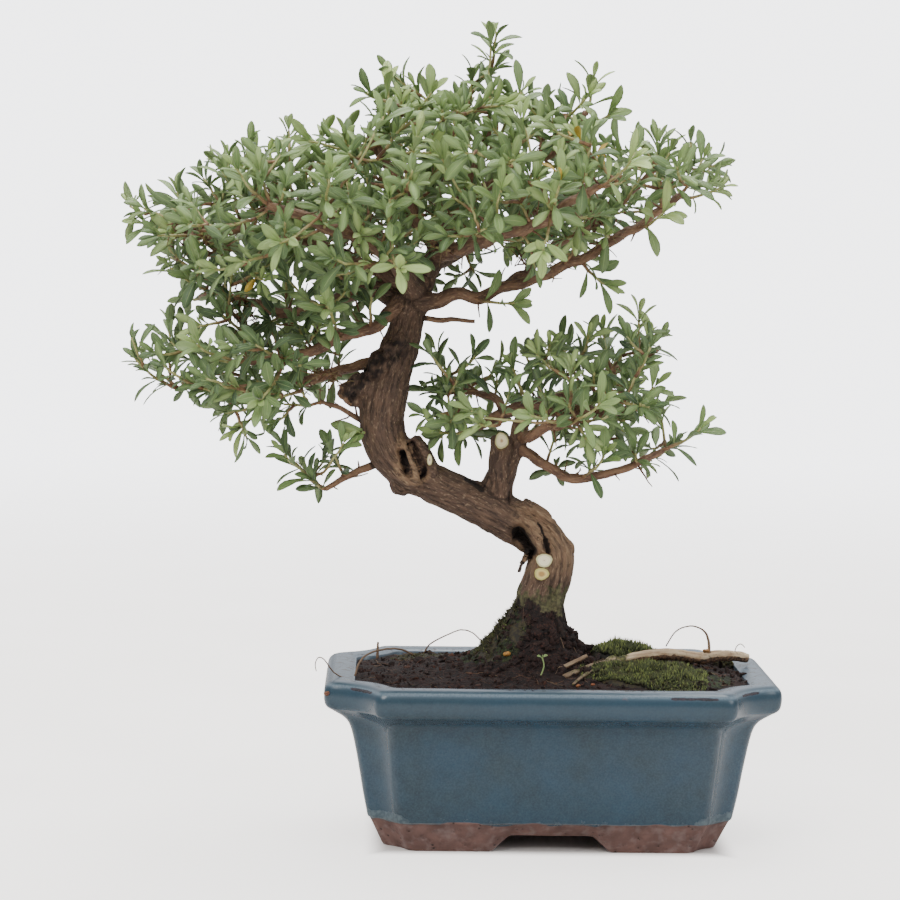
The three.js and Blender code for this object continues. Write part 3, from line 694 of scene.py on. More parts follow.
def twig_material():
    """Young twigs: tan at the foot, yellow-green at the tip. rise runs from 0 to 1 up a twig."""
    bench = new_material("young_twig")
    place = bench.place()
    bands = bench.patches(place, 1.6, 0.4, 0.6)
    colour = bench.layers(
        bench.mix(bands, "6c4e38", "94714f"),
        (bench.span(bench.value("rise"), 0.15, 0.75), bench.mix(bands, "97965a", "b3b478")),
        (bench.value("tone"), "5f3b27", 0.8),
    )
    return bench.finish(colour, 0.6, bench.grit(place, 0.4, 0.3), 0.1)


GLAZE = glaze_material()
NET = net_material()
SOIL = soil_material("peat_soil", "120b0a", "251613", "4e2d22")
CRUMB = soil_material("peat_crumbs", "140c0b", "2b1a15", "46302a")
BARK = bark_material()
CUT = cut_material()
DEAD_WOOD = dead_wood_material()
MOSS = moss_material()
LEAF = leaf_material()
TWIG = twig_material()


# Pot

CORNER_BOW = 0.55
CORNER_NOSE = 3.0
NOSE_STEPS = 8
BOW_STEPS = 12
LONG_STEPS = 76
SHORT_STEPS = 44
# Each row gives a height, how far it stands inside the lip, and the size of the corner's notch.
POT_ROWS = [
    (6, 30, 6), (6, 27.5, 6), (5.4, 26.3, 6), (-0.7, 25.2, 6), (FEET_LEVEL, 24.4, 6.4),
    (FEET_LEVEL, 18.8, 7.7), (-1.1, 17.9, 7.9), (6.6, 14.4, 8.8), (7.6, 13.6, 9), (9, 13.2, 9.1),
    (15, 12, 9.7), (25, 10.3, 10.5), (34.4, 8.3, 11.7), (38, 6.4, 13), (40.4, 3.1, 14.9),
    (42, 0.8, 15.8), (44.2, 0.05, 16), (47.2, 0.1, 16), (49, 1.1, 15.5), (49.9, 3, 14.8),
    (49.9, 6.2, 13.3), (49.2, 8.6, 12.4), (46.8, 9.8, 11.9), (28, 13.6, 9.8), (POT_FLOOR, 18, 8),
    (POT_FLOOR, 24, 7),
]
ROW_STEPS = 4
FEET_INSET = 13
FEET_TOP = 8
FOOT_GAP_TOP = 3.6
FRONT_GAP = (12.3, 18.5)
SIDE_GAP = (6.5, 10.5)
# Where the lip's front has lost its glaze, along X
CHAFED = [(-61, -54.5), (33.5, 47.5), (55, 61)]
DRAIN_RADIUS = 6.0
DRAIN_PLACE = 28.0


def pot_outline(inset, notch):
    """The pot's outline at one level: a rectangle whose corners are drawn in, as (points, 2)."""
    half = np.array([POT_LENGTH / 2 - inset, POT_DEPTH / 2 - inset])
    start = np.array([half[0], half[1] - notch])
    end = np.array([half[0] - notch, half[1]])
    middle = (start + end) / 2 * (1 - CORNER_BOW) + np.array([end[0], start[1]]) * CORNER_BOW
    share = CORNER_NOSE / notch / 1.6
    nose_start = start - (0, CORNER_NOSE)
    nose_end = end - (CORNER_NOSE, 0)
    spans = share + (1 - 2 * share) * np.arange(BOW_STEPS) / BOW_STEPS
    corner = np.vstack([
        bent(steps(NOSE_STEPS), nose_start, start, bent(share, start, middle, end)),
        [bent(t, start, middle, end) for t in spans],
        bent(steps(NOSE_STEPS), bent(1 - share, start, middle, end), end, nose_end),
        [nose_end],
    ])
    mirrored = corner[::-1] * (-1, 1)
    side = lambda a, b, count: a + (b - a) * steps(count)[1:]
    back = np.vstack([corner, side(corner[-1], mirrored[0], LONG_STEPS), mirrored])
    left = side(mirrored[-1], -corner[0], SHORT_STEPS)
    right = side(-mirrored[-1], corner[0], SHORT_STEPS)
    return np.vstack([back, left, -back, right])


def foot_lift(x, y):
    """How far the pot's lower edge stands off the table, above nothing at the feet."""
    front = 1 - np.clip((np.abs(x) - FRONT_GAP[0]) / (FRONT_GAP[1] - FRONT_GAP[0]), 0, 1)
    side = 1 - np.clip((np.abs(y) - SIDE_GAP[0]) / (SIDE_GAP[1] - SIDE_GAP[0]), 0, 1)
    slope = np.maximum(front, side)
    return (FOOT_GAP_TOP - FEET_LEVEL) * (0.8 * slope + 0.2 * slope * slope * (3 - 2 * slope))


def grid_convexity(grid, normals, step, axis):
    """How sharply a grid of points bends outwards along one axis, in 1/mm."""
    ahead = np.roll(grid, -step, axis)
    behind = np.roll(grid, step, axis)
    rise = np.sum((grid - (ahead + behind) / 2) * normals, axis=-1)
    return 8 * rise / np.maximum(np.sum((ahead - behind) ** 2, axis=-1), 1e-6)


def make_pot():
    rows = curve_through(POT_ROWS, ROW_STEPS)
    rings = []
    for height, inset, notch in rows:
        flat = pot_outline(inset, notch)
        share = np.clip((FEET_TOP - height) / (FEET_TOP - FEET_LEVEL), 0, 1)
        lift = foot_lift(*flat.T) * share if inset > FEET_INSET and height < FEET_TOP else 0
        rings.append(np.column_stack([flat, np.full(len(flat), height) + lift]))
    grid = np.array(rings)
    normals = unit(np.cross(np.roll(grid, -1, 1) - np.roll(grid, 1, 1), np.gradient(grid, axis=0)))
    points, faces = closed_tube(grid)
    smooth = points[:-2].copy()
    wobble = 0.16 * noise(smooth, 30, 3) + 0.05 * noise(smooth, 7, 4)
    standing = np.clip((smooth[:, 2] - FEET_LEVEL) / 3, 0, 1)
    points[:-2] = np.clip(smooth + normals.reshape(-1, 3) * (wobble * standing)[:, None], *POT_BOX)
    edge = np.maximum(grid_convexity(grid, normals, 3, 1), grid_convexity(grid, normals, 2, 0))
    level, inset = (np.repeat(rows[:, k], grid.shape[1]) for k in (0, 1))
    inward = np.array([POT_LENGTH / 2, POT_DEPTH / 2]) - inset[:, None] - np.abs(smooth[:, :2])
    x, y = points[:-2, :2].T
    chafed = sum(ease(x, a - 2, a + 1) * ease(x, b + 2, b - 1) for a, b in CHAFED)
    values = {
        "edge": np.clip(edge.ravel() * 1.6, 0, 1),
        # The rim's top, which takes a painted reflection and real speckles.
        "rim": ease(inset, 1.2, 3.4) * ease(level, 48, 49.4),
        "lip": ease(level, 41.5, 44),
        "corner": ease(np.max(inward, axis=1), 16, 8) * ease(np.min(inward, axis=1), 16, 8),
        # Where the painted highlight line runs along the top of the lip's front.
        "bead": 0.55 * ease(level, 48, 48.7) * ease(level, 49.5, 49) * (inset < 3),
        "chafed": 0.62 * chafed * ease(level, 47.5, 48.1) * ease(level, 49.1, 48.7) * (y < 0),
    }
    values = {key: np.append(value, [0, 0]) for key, value in values.items()}
    made = make_object("pot_body", to_frame(points), faces, GLAZE, values)
    pile = Pile()
    for x in (-DRAIN_PLACE, DRAIN_PLACE):
        add_tube(pile, np.array([(x, 0, z, DRAIN_RADIUS) for z in (2, 5, 10, 14)], dtype=float), 40)
    drill = pile.make("drill", None)
    mesh = applied(made, "BOOLEAN", object=drill, operation="DIFFERENCE", solver="MANIFOLD")
    bpy.data.objects.remove(drill)
    mesh.set_sharp_from_angle(angle=math.radians(50))
    finish_piece(show("glazed_pot", mesh), "glaze", "pot")


make_pot()


# Drain nets

NET_SIDE = 20.0
NET_MESHES = 7
NET_LEVELS = (0.63, 1.1)
STRAND_RADIUS = 0.36
STRAND_INSET = 0.4


def make_net(name, x):
    """A square of plastic net: two layers of rounded strands, one across the other."""
    pile = Pile()
    for layer, level in enumerate(NET_LEVELS):
        for k in range(NET_MESHES + 1):
            across = -NET_SIDE / 2 + STRAND_INSET + k * (NET_SIDE - 2 * STRAND_INSET) / NET_MESHES
            ends = [(end, across) if layer else (across, end)
                    for end in (-NET_SIDE / 2, 0, NET_SIDE / 2)]
            path = np.array([(x + a, b, POT_FLOOR + level, STRAND_RADIUS) for a, b in ends])
            add_tube(pile, path, 8)
    pile.finish(name, NET, "drain_mesh", name.replace("_net", "_mesh"))


make_net("drain_net_left", -DRAIN_PLACE)
make_net("drain_net_right", DRAIN_PLACE)


# Soil

SOIL_EDGE = 48.0
SOIL_DOME = 4.2
MOUND_HEIGHT = 24.0
TRUNK_FOOT = np.array([-2.0, 0.0])
SOIL_RINGS = 74
CLOD_COUNT = 230
CRUMB_COUNT = 2300
MOUND_CRUMB_COUNT = 460
FIBRE_COUNT = 110


def soil_height(x, y):
    """The soil's smooth level: a low dome, a steep mound up the root collar, and slow lumps."""
    across = np.maximum(1 - (x / (POT_LENGTH / 2 - 8.8)) ** 2, 0)
    deep = np.maximum(1 - (y / (POT_DEPTH / 2 - 8)) ** 2, 0)
    away_x, away_y = x - TRUNK_FOOT[0], y - TRUNK_FOOT[1]
    away = np.hypot(away_x, away_y)
    spread = 11.5 - 2.8 * away_x / np.maximum(away, 1)
    mound = MOUND_HEIGHT * np.exp(-(away / spread) ** 2)
    slow = 0.45 * np.sin(0.5 * x + 1.3) * np.sin(0.55 * y + 0.4)
    return SOIL_EDGE + SOIL_DOME * across * deep + mound + slow


def soil_surface(x, y):
    """The soil's level with its clods and crumbs."""
    flat = flat_points(x, y)
    rough = 0.75 * lumps(flat, 5.5, 3, 11) + 0.35 * np.abs(noise(flat, 1.9, 15))
    away = np.hypot(x - TRUNK_FOOT[0], y - TRUNK_FOOT[1])
    rough = rough * (1 + 1.2 * ease(away, 32, 14))
    return soil_height(x, y) + rough


def mossiness(x, y):
    """How green the soil is: on the mound's left slope and round the moss bank."""
    left = ease(-x, 4, 14) * ease(np.hypot(x + 12, y), 22, 10)
    bank = ease(np.hypot((x - 34) / 24, (y + 12) / 20), 1.15, 0.8)
    return np.maximum(left, 0.8 * bank)


def make_soil():
    edge = pot_outline(8.9, 12.1)
    count = len(edge)
    shares = np.linspace(0, 1, SOIL_RINGS + 1)[1:] ** 0.9
    flat = (shares[:, None, None] * edge).reshape(-1, 2)
    level = soil_surface(*flat.T)
    top = np.column_stack([flat, level]).reshape(SOIL_RINGS, count, 3)
    side = [np.column_stack([pot_outline(inset, notch), np.full(count, z)])
            for z, inset, notch in ((40, 11.1, 11), (28, 14, 9.8), (POT_FLOOR + 2, 18, 8.1))]
    rings = np.vstack([top, side])[::-1]
    points, faces = closed_tube(rings)
    points[-1, 2] = soil_surface(np.zeros(1), np.zeros(1))[0]
    pile = Pile()
    pile.add(points, faces, tone=0, mossy=mossiness(points[:, 0], points[:, 1]))
    pile.finish("peat_soil", SOIL, "soil", "soil")


make_soil()


def clod_form():
    """An icosahedron, for crumbs: 12 unit points and 20 faces."""
    golden = (1 + math.sqrt(5)) / 2
    pairs = [(a, b * golden) for a in (-1, 1) for b in (-1, 1)]
    points = unit([(0, a, b) for a, b in pairs] + [(a, b, 0) for a, b in pairs]
                  + [(b, 0, a) for a, b in pairs])
    faces = []
    for a, b, c in itertools.combinations(range(12), 3):
        corner = points[[a, b, c]]
        spans = np.linalg.norm(corner - np.roll(corner, 1, 0), axis=1)
        if spans.max() < 1.2:
            outward = np.dot(np.cross(corner[1] - corner[0], corner[2] - corner[0]), corner[0]) > 0
            faces.append((a, b, c) if outward else (a, c, b))
    return points, np.array(faces)


def scatter_clods(pile, x, y, sizes, lift, rng, **values):
    """Rough crumbs, raised by a share of their size, each stretched and turned its own way."""
    places = np.column_stack([x, y, soil_surface(x, y) + lift * sizes])
    form, faces = clod_form()
    many = len(places)
    turns = unit(rng.normal(size=(many, 3, 3)))
    stretch = 1 + 0.35 * rng.uniform(-1, 1, (many, 1, 3))
    dents = 1 + 0.22 * rng.uniform(-1, 1, (many, 12, 1))
    bodies = np.einsum("nvk,nkj->nvj", form * stretch * dents, turns) * sizes[:, None, None]
    points = (bodies + places[:, None]).reshape(-1, 3)
    index = (faces + 12 * np.arange(many)[:, None, None]).reshape(-1, 3)
    pile.add(points, [index], **{key: np.repeat(np.broadcast_to(value, many), 12)
                                 for key, value in values.items()})


def round_the_trunk(rng, many, least, most):
    """Seeded places round the trunk's foot, and how far each is from its middle."""
    away, angle = rng.uniform(least, most, many), rng.uniform(0, 2 * math.pi, many)
    return TRUNK_FOOT[0] + away * np.cos(angle), TRUNK_FOOT[1] + away * np.sin(angle), away


def soil_places(rng, many, edge_gap=9.6, corner=13):
    """Seeded places over the soil, inside the pot's rim and its drawn-in corners."""
    x = rng.uniform(-1, 1, many) * (POT_LENGTH / 2 - edge_gap)
    y = rng.uniform(-1, 1, many) * (POT_DEPTH / 2 - edge_gap)
    from_corner = np.hypot(POT_LENGTH / 2 - edge_gap - np.abs(x),
                           POT_DEPTH / 2 - edge_gap - np.abs(y))
    kept = from_corner > corner
    return x[kept], y[kept]


# Chunks of dark peat, as seen: (x, y, size)
CHUNKS = [
    (8, 3, 2.6), (11, 1, 2.2), (13.5, 4, 2.4), (15, -1, 1.9), (17, 3, 2.1), (19.5, 5, 1.8),
    (21, 1, 1.5), (10, -4, 1.8), (6, 8, 2.2), (24, 6, 1.9), (29, 12, 2), (37, 12, 1.9),
    (41, 9, 1.7), (45, 13, 2), (51, 14, 2.2), (55, 12, 1.7), (-8, 9, 2.1), (2, 11, 2.2),
    (-52, -20, 1.2), (-40, 6, 1.4), (-28, 12, 1.5), (34, 18, 2.1), (56, 3, 1.3), (60, -4, 1.4),
]


def round_clod():
    """A finer clod form: the icosahedron with each face split in four."""
    points, faces = clod_form()
    points, middles, split = list(points), {}, []
    for face in faces:
        between = []
        for a, b in zip(face, np.roll(face, -1)):
            key = (min(a, b), max(a, b))
            if key not in middles:
                middles[key] = len(points)
                points.append(unit(points[a] + points[b]))
            between.append(middles[key])
        (a, b, c), (ab, bc, ca) = face, between
        split += [(a, ab, ca), (b, bc, ab), (c, ca, bc), (ab, bc, ca)]
    return np.array(points), np.array(split)


def make_clods():
    """Coarse lumps of peat that the mound is built of, half sunk in it."""
    rng = np.random.default_rng(37)
    form, faces = round_clod()
    pile = Pile()
    x, y, away = round_the_trunk(rng, CLOD_COUNT, 8.5, 31)
    kept = (np.abs(y) < POT_DEPTH / 2 - 10) & (mossiness(x, y) < 0.55)
    for k in np.flatnonzero(kept):
        size = rng.uniform(0.8, 2.0) * ease(away[k], 46, 12)
        body = form * (1 + 0.3 * rng.uniform(-1, 1, 3)) * size
        body = body + form * (size * lumps(body + 40 * k, 1.1, 2, 39))[:, None]
        centre = (x[k], y[k], soil_surface(x[k:k + 1], y[k:k + 1])[0] + 0.1 * size)
        pile.add(body + centre, [faces], tone=0.12 * rng.random(),
                 mossy=0.5 * mossiness(x[k], y[k]))
    pile.finish("peat_clods", SOIL, "soil")


def make_crumbs():
    """Loose crumbs on the soil and against the rim, and dark chunks on the mound's right."""
    rng = np.random.default_rng(31)
    pile = Pile()
    x, y = soil_places(rng, CRUMB_COUNT)
    sizes = 0.22 + 0.75 * rng.random(len(x)) ** 3
    tone = np.where(rng.random(len(x)) < 0.12, rng.uniform(0.3, 1, len(x)),
                    0.1 * rng.random(len(x)))
    scatter_clods(pile, x, y, sizes, 0.2, rng, tone=tone, mossy=0.5 * mossiness(x, y))
    x, y, _ = round_the_trunk(rng, MOUND_CRUMB_COUNT, 7.4, 23)
    sizes = rng.uniform(0.35, 1.05, len(x))
    tone = 0.25 * rng.random(len(x))
    scatter_clods(pile, x, y, sizes, 0.3, rng, tone=tone, mossy=0.6 * mossiness(x, y))
    scatter_clods(pile, *np.array(CHUNKS, dtype=float).T, 0.5, rng, tone=0, mossy=0)
    pile.finish("soil_crumbs", CRUMB, "soil", smooth=False)


make_crumbs()
make_clods()

# Rootlets that stand clear of the soil, as seen: (x, y, z, radius)
ROOTLETS = [
    [(37.4, 10, 55.6, 0.22), (40.5, 10, 60.4, 0.22), (44.9, 10, 62.1, 0.24), (48.6, 9, 61.2, 0.3),
     (50.4, 8, 58.4, 0.42), (50.6, 6, 54.4, 0.5)],
    [(-38.5, 12, 52.4, 0.25), (-36.3, 12, 55.4, 0.25), (-31, 11, 58.4, 0.22), (-27, 10, 60.1, 0.2),
     (-23.5, 7, 59.7, 0.2), (-20.4, 4, 57.2, 0.2)],
    [(-59.6, -25, 51, 0.3), (-58.6, -23.5, 54.3, 0.32), (-56.5, -20, 56.4, 0.32),
     (-52.5, -15, 57.3, 0.3), (-46.5, -10, 57, 0.3), (-42, -7, 54.8, 0.3)],
    [(59.4, 14, 52.8, 0.16), (60.2, 14, 55.2, 0.16), (61.6, 14, 56, 0.15), (62.8, 14, 54.9, 0.14)],
    [(-62.4, -20, 49.2, 0.22), (-66, -21, 51.4, 0.22), (-68.9, -22, 55.4, 0.2),
     (-70.7, -22, 56, 0.18), (-71.6, -22, 54, 0.16), (-71.2, -22, 51.8, 0.14)],
    [(-53, -10, 54, 0.5), (-52.9, -10, 56.4, 0.45), (-52.8, -10, 59, 0.36)],
]


def make_fibres():
    """Fine roots: short ones lying on the soil, and the few that loop clear of it."""
    rng = np.random.default_rng(47)
    pile = Pile()
    x, y = soil_places(rng, FIBRE_COUNT, 13, 10)
    for place in zip(x, y):
        heading = rng.uniform(0, 2 * math.pi)
        reach = rng.uniform(2.5, 7)
        t = np.linspace(-0.5, 0.5, 7)
        bend = rng.uniform(-0.4, 0.4) * reach * t ** 2
        px = place[0] + reach * t * math.cos(heading) - bend * math.sin(heading)
        py = place[1] + reach * t * math.sin(heading) + bend * math.cos(heading)
        pz = soil_surface(px, py) + 0.25 + rng.uniform(0, 1.4) * np.clip(t, 0, 1)
        radius = rng.uniform(0.06, 0.13)
        path = np.column_stack([px, py, pz, np.full(7, radius)])
        add_tube(pile, path, 4, tone=rng.uniform(0.75, 1), mossy=0.0, grain=path[3, :3] * MM)
    for line in ROOTLETS:
        path = curve_through(line, 5)
        path[:, :3] += 0.12 * np.column_stack([noise(path[:, :3], 1.5, k) for k in (1, 2, 3)])
        add_tube(pile, path, 6, tone=0.75, mossy=0.0, grain=path[3, :3] * MM)
    pile.finish("fine_roots", DEAD_WOOD, "dead_wood")


make_fibres()

# Small things that lie about, as seen: centre, radius, colour
LITTER = [
    ("yellow_bud", (-13.6, -14, 56.5), 1.25, "b98436"),
    ("orange_crumb", (6.7, -35, 50.6), 0.8, "96552e"),
    ("red_crumb", (11, -34.6, 50.8), 0.7, "8a4630"),
    ("orange_scale", (49.2, 3.2, 55.4), 1.15, "a87c4c"),
    ("clay_chip", (-68.0, -29.4, 46.4), 1.1, "6a3f36"),
]


def litter_material(name, code):
    """Bruised vegetable colour with darker patches."""
    bench = new_material(name)
    place = bench.place()
    colour = bench.layers(code, (*bench.stain(place, 0.5, 0.9, "4a2c18", "9a6a34"), 0.5))
    return bench.finish(colour, 0.6, bench.grit(place, 0.6, 0.4), 0.15)


def egg(centre, radii, rings=10, sides=14):
    """Points and faces of a closed egg shape."""
    rise = np.sin(np.linspace(-0.48, 0.48, rings) * math.pi)
    _, cosines, sines = circle(sides)
    level = flat_points(cosines, sines)
    shell = np.sqrt(1 - rise ** 2)[:, None, None] * level
    shell = shell + rise[:, None, None] * np.array([0, 0, 1])
    return closed_tube(np.asarray(centre) + shell * np.asarray(radii))


def make_litter():
    for seed, (name, centre, radius, code) in enumerate(LITTER):
        points, faces = egg(centre, (0.9 * radius, 0.7 * radius, 0.6 * radius))
        roughness = 0.6 if seed else 0.3
        rough = roughness * radius * noise(points, 0.9 * radius, seed)
        points += unit(points - centre) * rough[:, None]
        pile = Pile()
        pile.add(points, faces)
        pile.finish(name, litter_material(name, code), "dead_wood")


make_litter()


# Dead wood on the soil

DEAD_ROOT = [
    (21, -3, 52.8, 1.2), (28.5, -0.5, 53.9, 1.7), (36.5, 2.5, 54.3, 1.9), (45, 5, 53.1, 1.85),
    (48.5, 6, 52.6, 1.9), (53.5, 8, 53.1, 1.8), (60, 10, 52.7, 1.7), (63.3, 10.8, 52, 1.4),
]
DEAD_KNOT = [(21.5, -2, 52.8, 0.9), (19.5, -3, 53.4, 1.2), (17.6, -4, 53, 0.8)]
MOSSY_ROOT = [
    (22.5, -2.5, 52.6, 1.1), (16, -7.5, 52.6, 1.1), (9.5, -15, 52, 1), (3.5, -22.5, 51, 0.9),
]
SIDE_ROOT = [(24, -6, 52, 0.7), (15, -14.5, 52, 0.7), (9.5, -22, 51.4, 0.6), (5.5, -31, 50.2, 0.4)]
PRUNED_TWIG = [(2.2, -20, 52.9, 0.75), (6.4, -16, 54.2, 0.72), (10.8, -12, 55.6, 0.76)]
BAR_SIDES = 14


def wooden_bar(pile, line, seed, knots=0.1, tone=0.0, mossy=0.0, mossy_until=None):
    """A dead stick with slow knots and fine lengthwise ridges."""
    path = curve_through(line, 12)
    along = lengths_along(path)
    path[:, 3] *= 1 + 1.3 * knots * noise(flat_points(along, 0 * along), 3.5, seed)
    rings = tube_rings(path, BAR_SIDES)
    many, sides = rings.shape[:2]
    spoke = np.stack(circle(sides)[1:], axis=-1)[None] * path[:, None, 3:4]
    far = np.broadcast_to(along[:, None, None], (many, sides, 1))
    grain = np.concatenate([spoke, far], axis=-1)
    ridges = noise(grain.reshape(-1, 3) * (1, 1, 0.18), 0.55, seed + 1).reshape(many, sides, 1)
    rings = rings + (rings - path[:, None, :3]) * (0.12 * ridges)
    points, faces = closed_tube(rings)
    grain = np.vstack([grain.reshape(-1, 3), grain[0].mean(axis=0), grain[-1].mean(axis=0)])
    if mossy_until:
        mossy = mossy * ease(points[:, 0], *mossy_until)
    pile.add(points, faces, grain=grain * MM, tone=tone, mossy=mossy)


def make_dead_wood():
    root, mossy, twig = Pile(), Pile(), Pile()
    wooden_bar(root, DEAD_ROOT, 5, knots=0.12, mossy=0.55, mossy_until=(30, 22))
    wooden_bar(root, DEAD_KNOT, 6, mossy=0.5)
    root.finish("dead_root_bare", DEAD_WOOD, "dead_wood", "dead_root")
    wooden_bar(mossy, MOSSY_ROOT, 8, tone=0.6, mossy=0.42)
    wooden_bar(mossy, SIDE_ROOT, 9, tone=0.6, mossy=0.42)
    mossy.finish("mossy_roots", DEAD_WOOD, "dead_wood")
    wooden_bar(twig, PRUNED_TWIG, 12, knots=0.06, tone=0.55)
    twig.finish("pruned_twig_bare", DEAD_WOOD, "dead_wood", "pruned_twig")


make_dead_wood()


# Moss

def add_shoots(pile, feet, tops, radii, tone, old):
    """Closed three-sided moss shoots, thickest above the foot and coming to a point at the tip."""
    many = len(feet)
    lift = tops - feet
    spin = np.arange(many)[:, None] * 2.4 + circle(3)[0]
    spoke = np.stack([np.cos(spin), np.sin(spin), np.zeros_like(spin)], axis=-1)
    lower = feet[:, None] + 0.7 * radii[:, None, None] * spoke
    upper = feet[:, None] + 0.45 * lift[:, None] + radii[:, None, None] * spoke
    points = np.concatenate([lower, upper, tops[:, None]], axis=1).reshape(-1, 3)
    base = 7 * np.arange(many)[:, None, None]
    sides = np.array([(k, (k + 1) % 3, (k + 1) % 3 + 3, k + 3) for k in range(3)])
    caps = np.array([(3, 4, 6), (4, 5, 6), (5, 3, 6), (2, 1, 0)])
    rise = np.tile([0, 0, 0, 0.5, 0.5, 0.5, 1], many)
    pile.add(points, [(sides + base).reshape(-1, 4), (caps + base).reshape(-1, 3)],
             rise=rise, tone=np.repeat(tone, 7), old=old)


def low_moss(x, y):
    """How low the moss is kept at a place: in front of the dead root and of the trunk's foot."""
    root = 0.32 * (x - 21) - 3
    low = ease(x, 19, 25) * ease(y, root - 11, root - 4) * ease(y, root + 1.6, root)
    return np.maximum(low, 0.95 * ease(x, -3, -6) * ease(y, -1, -5))


def moss_rise(x, y, share, thickness):
    """How thick the mat is, by the share of the way out to its edge."""
    return thickness * np.sqrt(np.clip(1 - share ** 2.4, 0, 1)) * (1 - 0.9 * low_moss(x, y))


def add_moss_mat(pile, centre, radii, thickness, old, edge_seed):
    """The cushion that the shoots of one patch grow from: a lumpy mat on the soil."""
    rings, sides = 26, 84
    _, cosines, sines = circle(sides)
    ragged = 1 + 0.16 * noise(flat_points(cosines, sines) * 3, 1, edge_seed)
    shares = np.linspace(0, 1, rings + 1)[1:]
    flat = np.stack([cosines * ragged * radii[0], sines * ragged * radii[1]], axis=-1)
    flat = np.asarray(centre) + shares[:, None, None] * flat
    x, y = flat.reshape(-1, 2).T
    share = np.repeat(shares, sides)
    lumpy = 0.4 * lumps(flat_points(x, y), 3, 2, edge_seed)
    rise = moss_rise(x, y, share, thickness) + lumpy * np.clip(1.2 - share, 0, 1)
    top = np.column_stack([x, y, soil_height(x, y) + rise]).reshape(rings, sides, 3)
    bottom = top[[-1, 3]].copy()
    bottom[..., 2] = soil_height(bottom[..., 0], bottom[..., 1]) - 1.4
    points, faces = closed_tube(np.concatenate([bottom[[1, 0]], top[::-1]]))
    pile.add(points, faces, rise=0.18, tone=0, old=min(old + 0.3, 1))


def make_moss(name, centre, radii, thickness, count, height, old, seed, bald, *nodes):
    """A mat of moss and its shoots, with bare places where a slow noise falls below bald."""
    rng = np.random.default_rng(seed)
    pile = Pile()
    add_moss_mat(pile, centre, radii, thickness, old, seed)
    angle = rng.uniform(0, 2 * math.pi, count)
    reach = np.sqrt(rng.random(count)) * 1.06
    wave = 1 + 0.14 * np.sin(3 * angle + centre[0])
    x = centre[0] + radii[0] * reach * wave * np.cos(angle)
    y = centre[1] + radii[1] * reach * wave * np.sin(angle)
    kept = (np.abs(y) < POT_DEPTH / 2 - 8.4) & (np.abs(x) < POT_LENGTH / 2 - 9.5)
    kept &= np.hypot(x - TRUNK_FOOT[0], y - TRUNK_FOOT[1]) > 7.5
    kept &= noise(flat_points(x, y), 3.4, seed + 2) - 0.45 * ease(y, -2, -8) > bald
    x, y = x[kept], y[kept]
    share = np.clip(1.05 - np.hypot((x - centre[0]) / radii[0], (y - centre[1]) / radii[1]), 0, 1)
    feet = np.column_stack([x, y, soil_height(x, y) + moss_rise(x, y, 1 - share, thickness) - 0.4])
    clumps = 1 + 0.7 * noise(feet, 2.8, seed)
    tall = height * rng.uniform(0.55, 1.2, len(x)) * clumps * (0.55 + 0.45 * share)
    tall *= (1 + 0.4 * noise(feet, 7, seed + 1)) * (1 - 0.6 * low_moss(x, y))
    slope = np.column_stack([soil_slope(x, y), np.ones(len(x))])
    aim = unit(unit(slope) + 0.32 * rng.normal(size=(len(x), 3)) + (0, 0, 0.3))
    tops = feet + aim * tall[:, None]
    radius = rng.uniform(0.17, 0.32, len(x))
    tone = np.where(rng.random(len(x)) < 0.2 + 0.5 * (clumps - 1), 0.85, 0.12)
    add_shoots(pile, feet, tops, radius, tone, old)
    pile.finish(name, MOSS, "moss", *nodes)


def soil_slope(x, y):
    """The level part of the soil's outward direction."""
    step = 0.5
    fall_x = (soil_height(x - step, y) - soil_height(x + step, y)) / (2 * step)
    fall_y = (soil_height(x, y - step) - soil_height(x, y + step)) / (2 * step)
    return np.column_stack([fall_x, fall_y])


NOT_BALD = -9

# Each patch as make_moss takes it
MOSS_PATCHES = [
    ("moss_bank_shoots", (30, -17), (18.5, 15.5), 2.4, 6400, 2.3, 0.42, 61, NOT_BALD, "moss_bank"),
    ("moss_collar_shoots", (-15, -5), (8.5, 9.5), 1.1, 2600, 2.6, 0.5, 62, -0.2, "moss_collar"),
    ("moss_behind_root", (24, 5), (11.5, 6.5), 4.9, 2400, 3.0, 0.15, 63, NOT_BALD),
    ("moss_far_corner", (55.5, 18), (5, 4.5), 2.4, 650, 2, 0.5, 64, NOT_BALD),
    ("moss_by_rim", (-40, 20), (9, 5), 0.6, 600, 1.1, 0.6, 65, NOT_BALD),
]
for patch in MOSS_PATCHES:
    make_moss(*patch)


# Wood

# A wooden member is a list of (x, y, z, radius) along its middle.
TRUNK_LINE = [
    (-2, 0, 37, 8), (-2.5, 0, 48, 10.8), (-2.5, 0, 58.5, 9), (-3, 0, 70.5, 7.6),
    (-0.5, 0, 79.5, 7.4), (-0.5, 0, 86.5, 7.3), (-6.5, 0, 92.5, 7), (-19.5, 0, 99.5, 6.8),
    (-29.5, 0, 104, 6.2), (-39, 0, 108, 6.1), (-47, 0, 113, 6.7), (-51.4, 0, 120, 6.9),
    (-52.6, 0.5, 126.5, 7.2), (-51.8, 0.5, 134, 7), (-49.6, 1, 142, 6.4), (-46.3, 1, 151.5, 5.6),
    (-44.3, 1, 160, 4.9), (-43, 1, 164.5, 4.3), (-38.5, 2, 173, 3.6), (-32, 1, 186, 2.8),
    (-26, -1, 200, 2), (-21.5, -4, 214.5, 1.3),
]
ROOTS = [
    [(-2, 0, 43, 6), (-14, -8, 38, 4), (-30, -15, 30, 2)],
    [(-2, 0, 43, 6), (-14, 8, 38, 4), (-34, 14, 28, 2)],
    [(-2, 0, 43, 6), (10, -8, 37, 4), (28, -14, 28, 2)],
    [(-2, 0, 43, 6), (10, 8, 37, 4), (34, 13, 30, 2)],
]
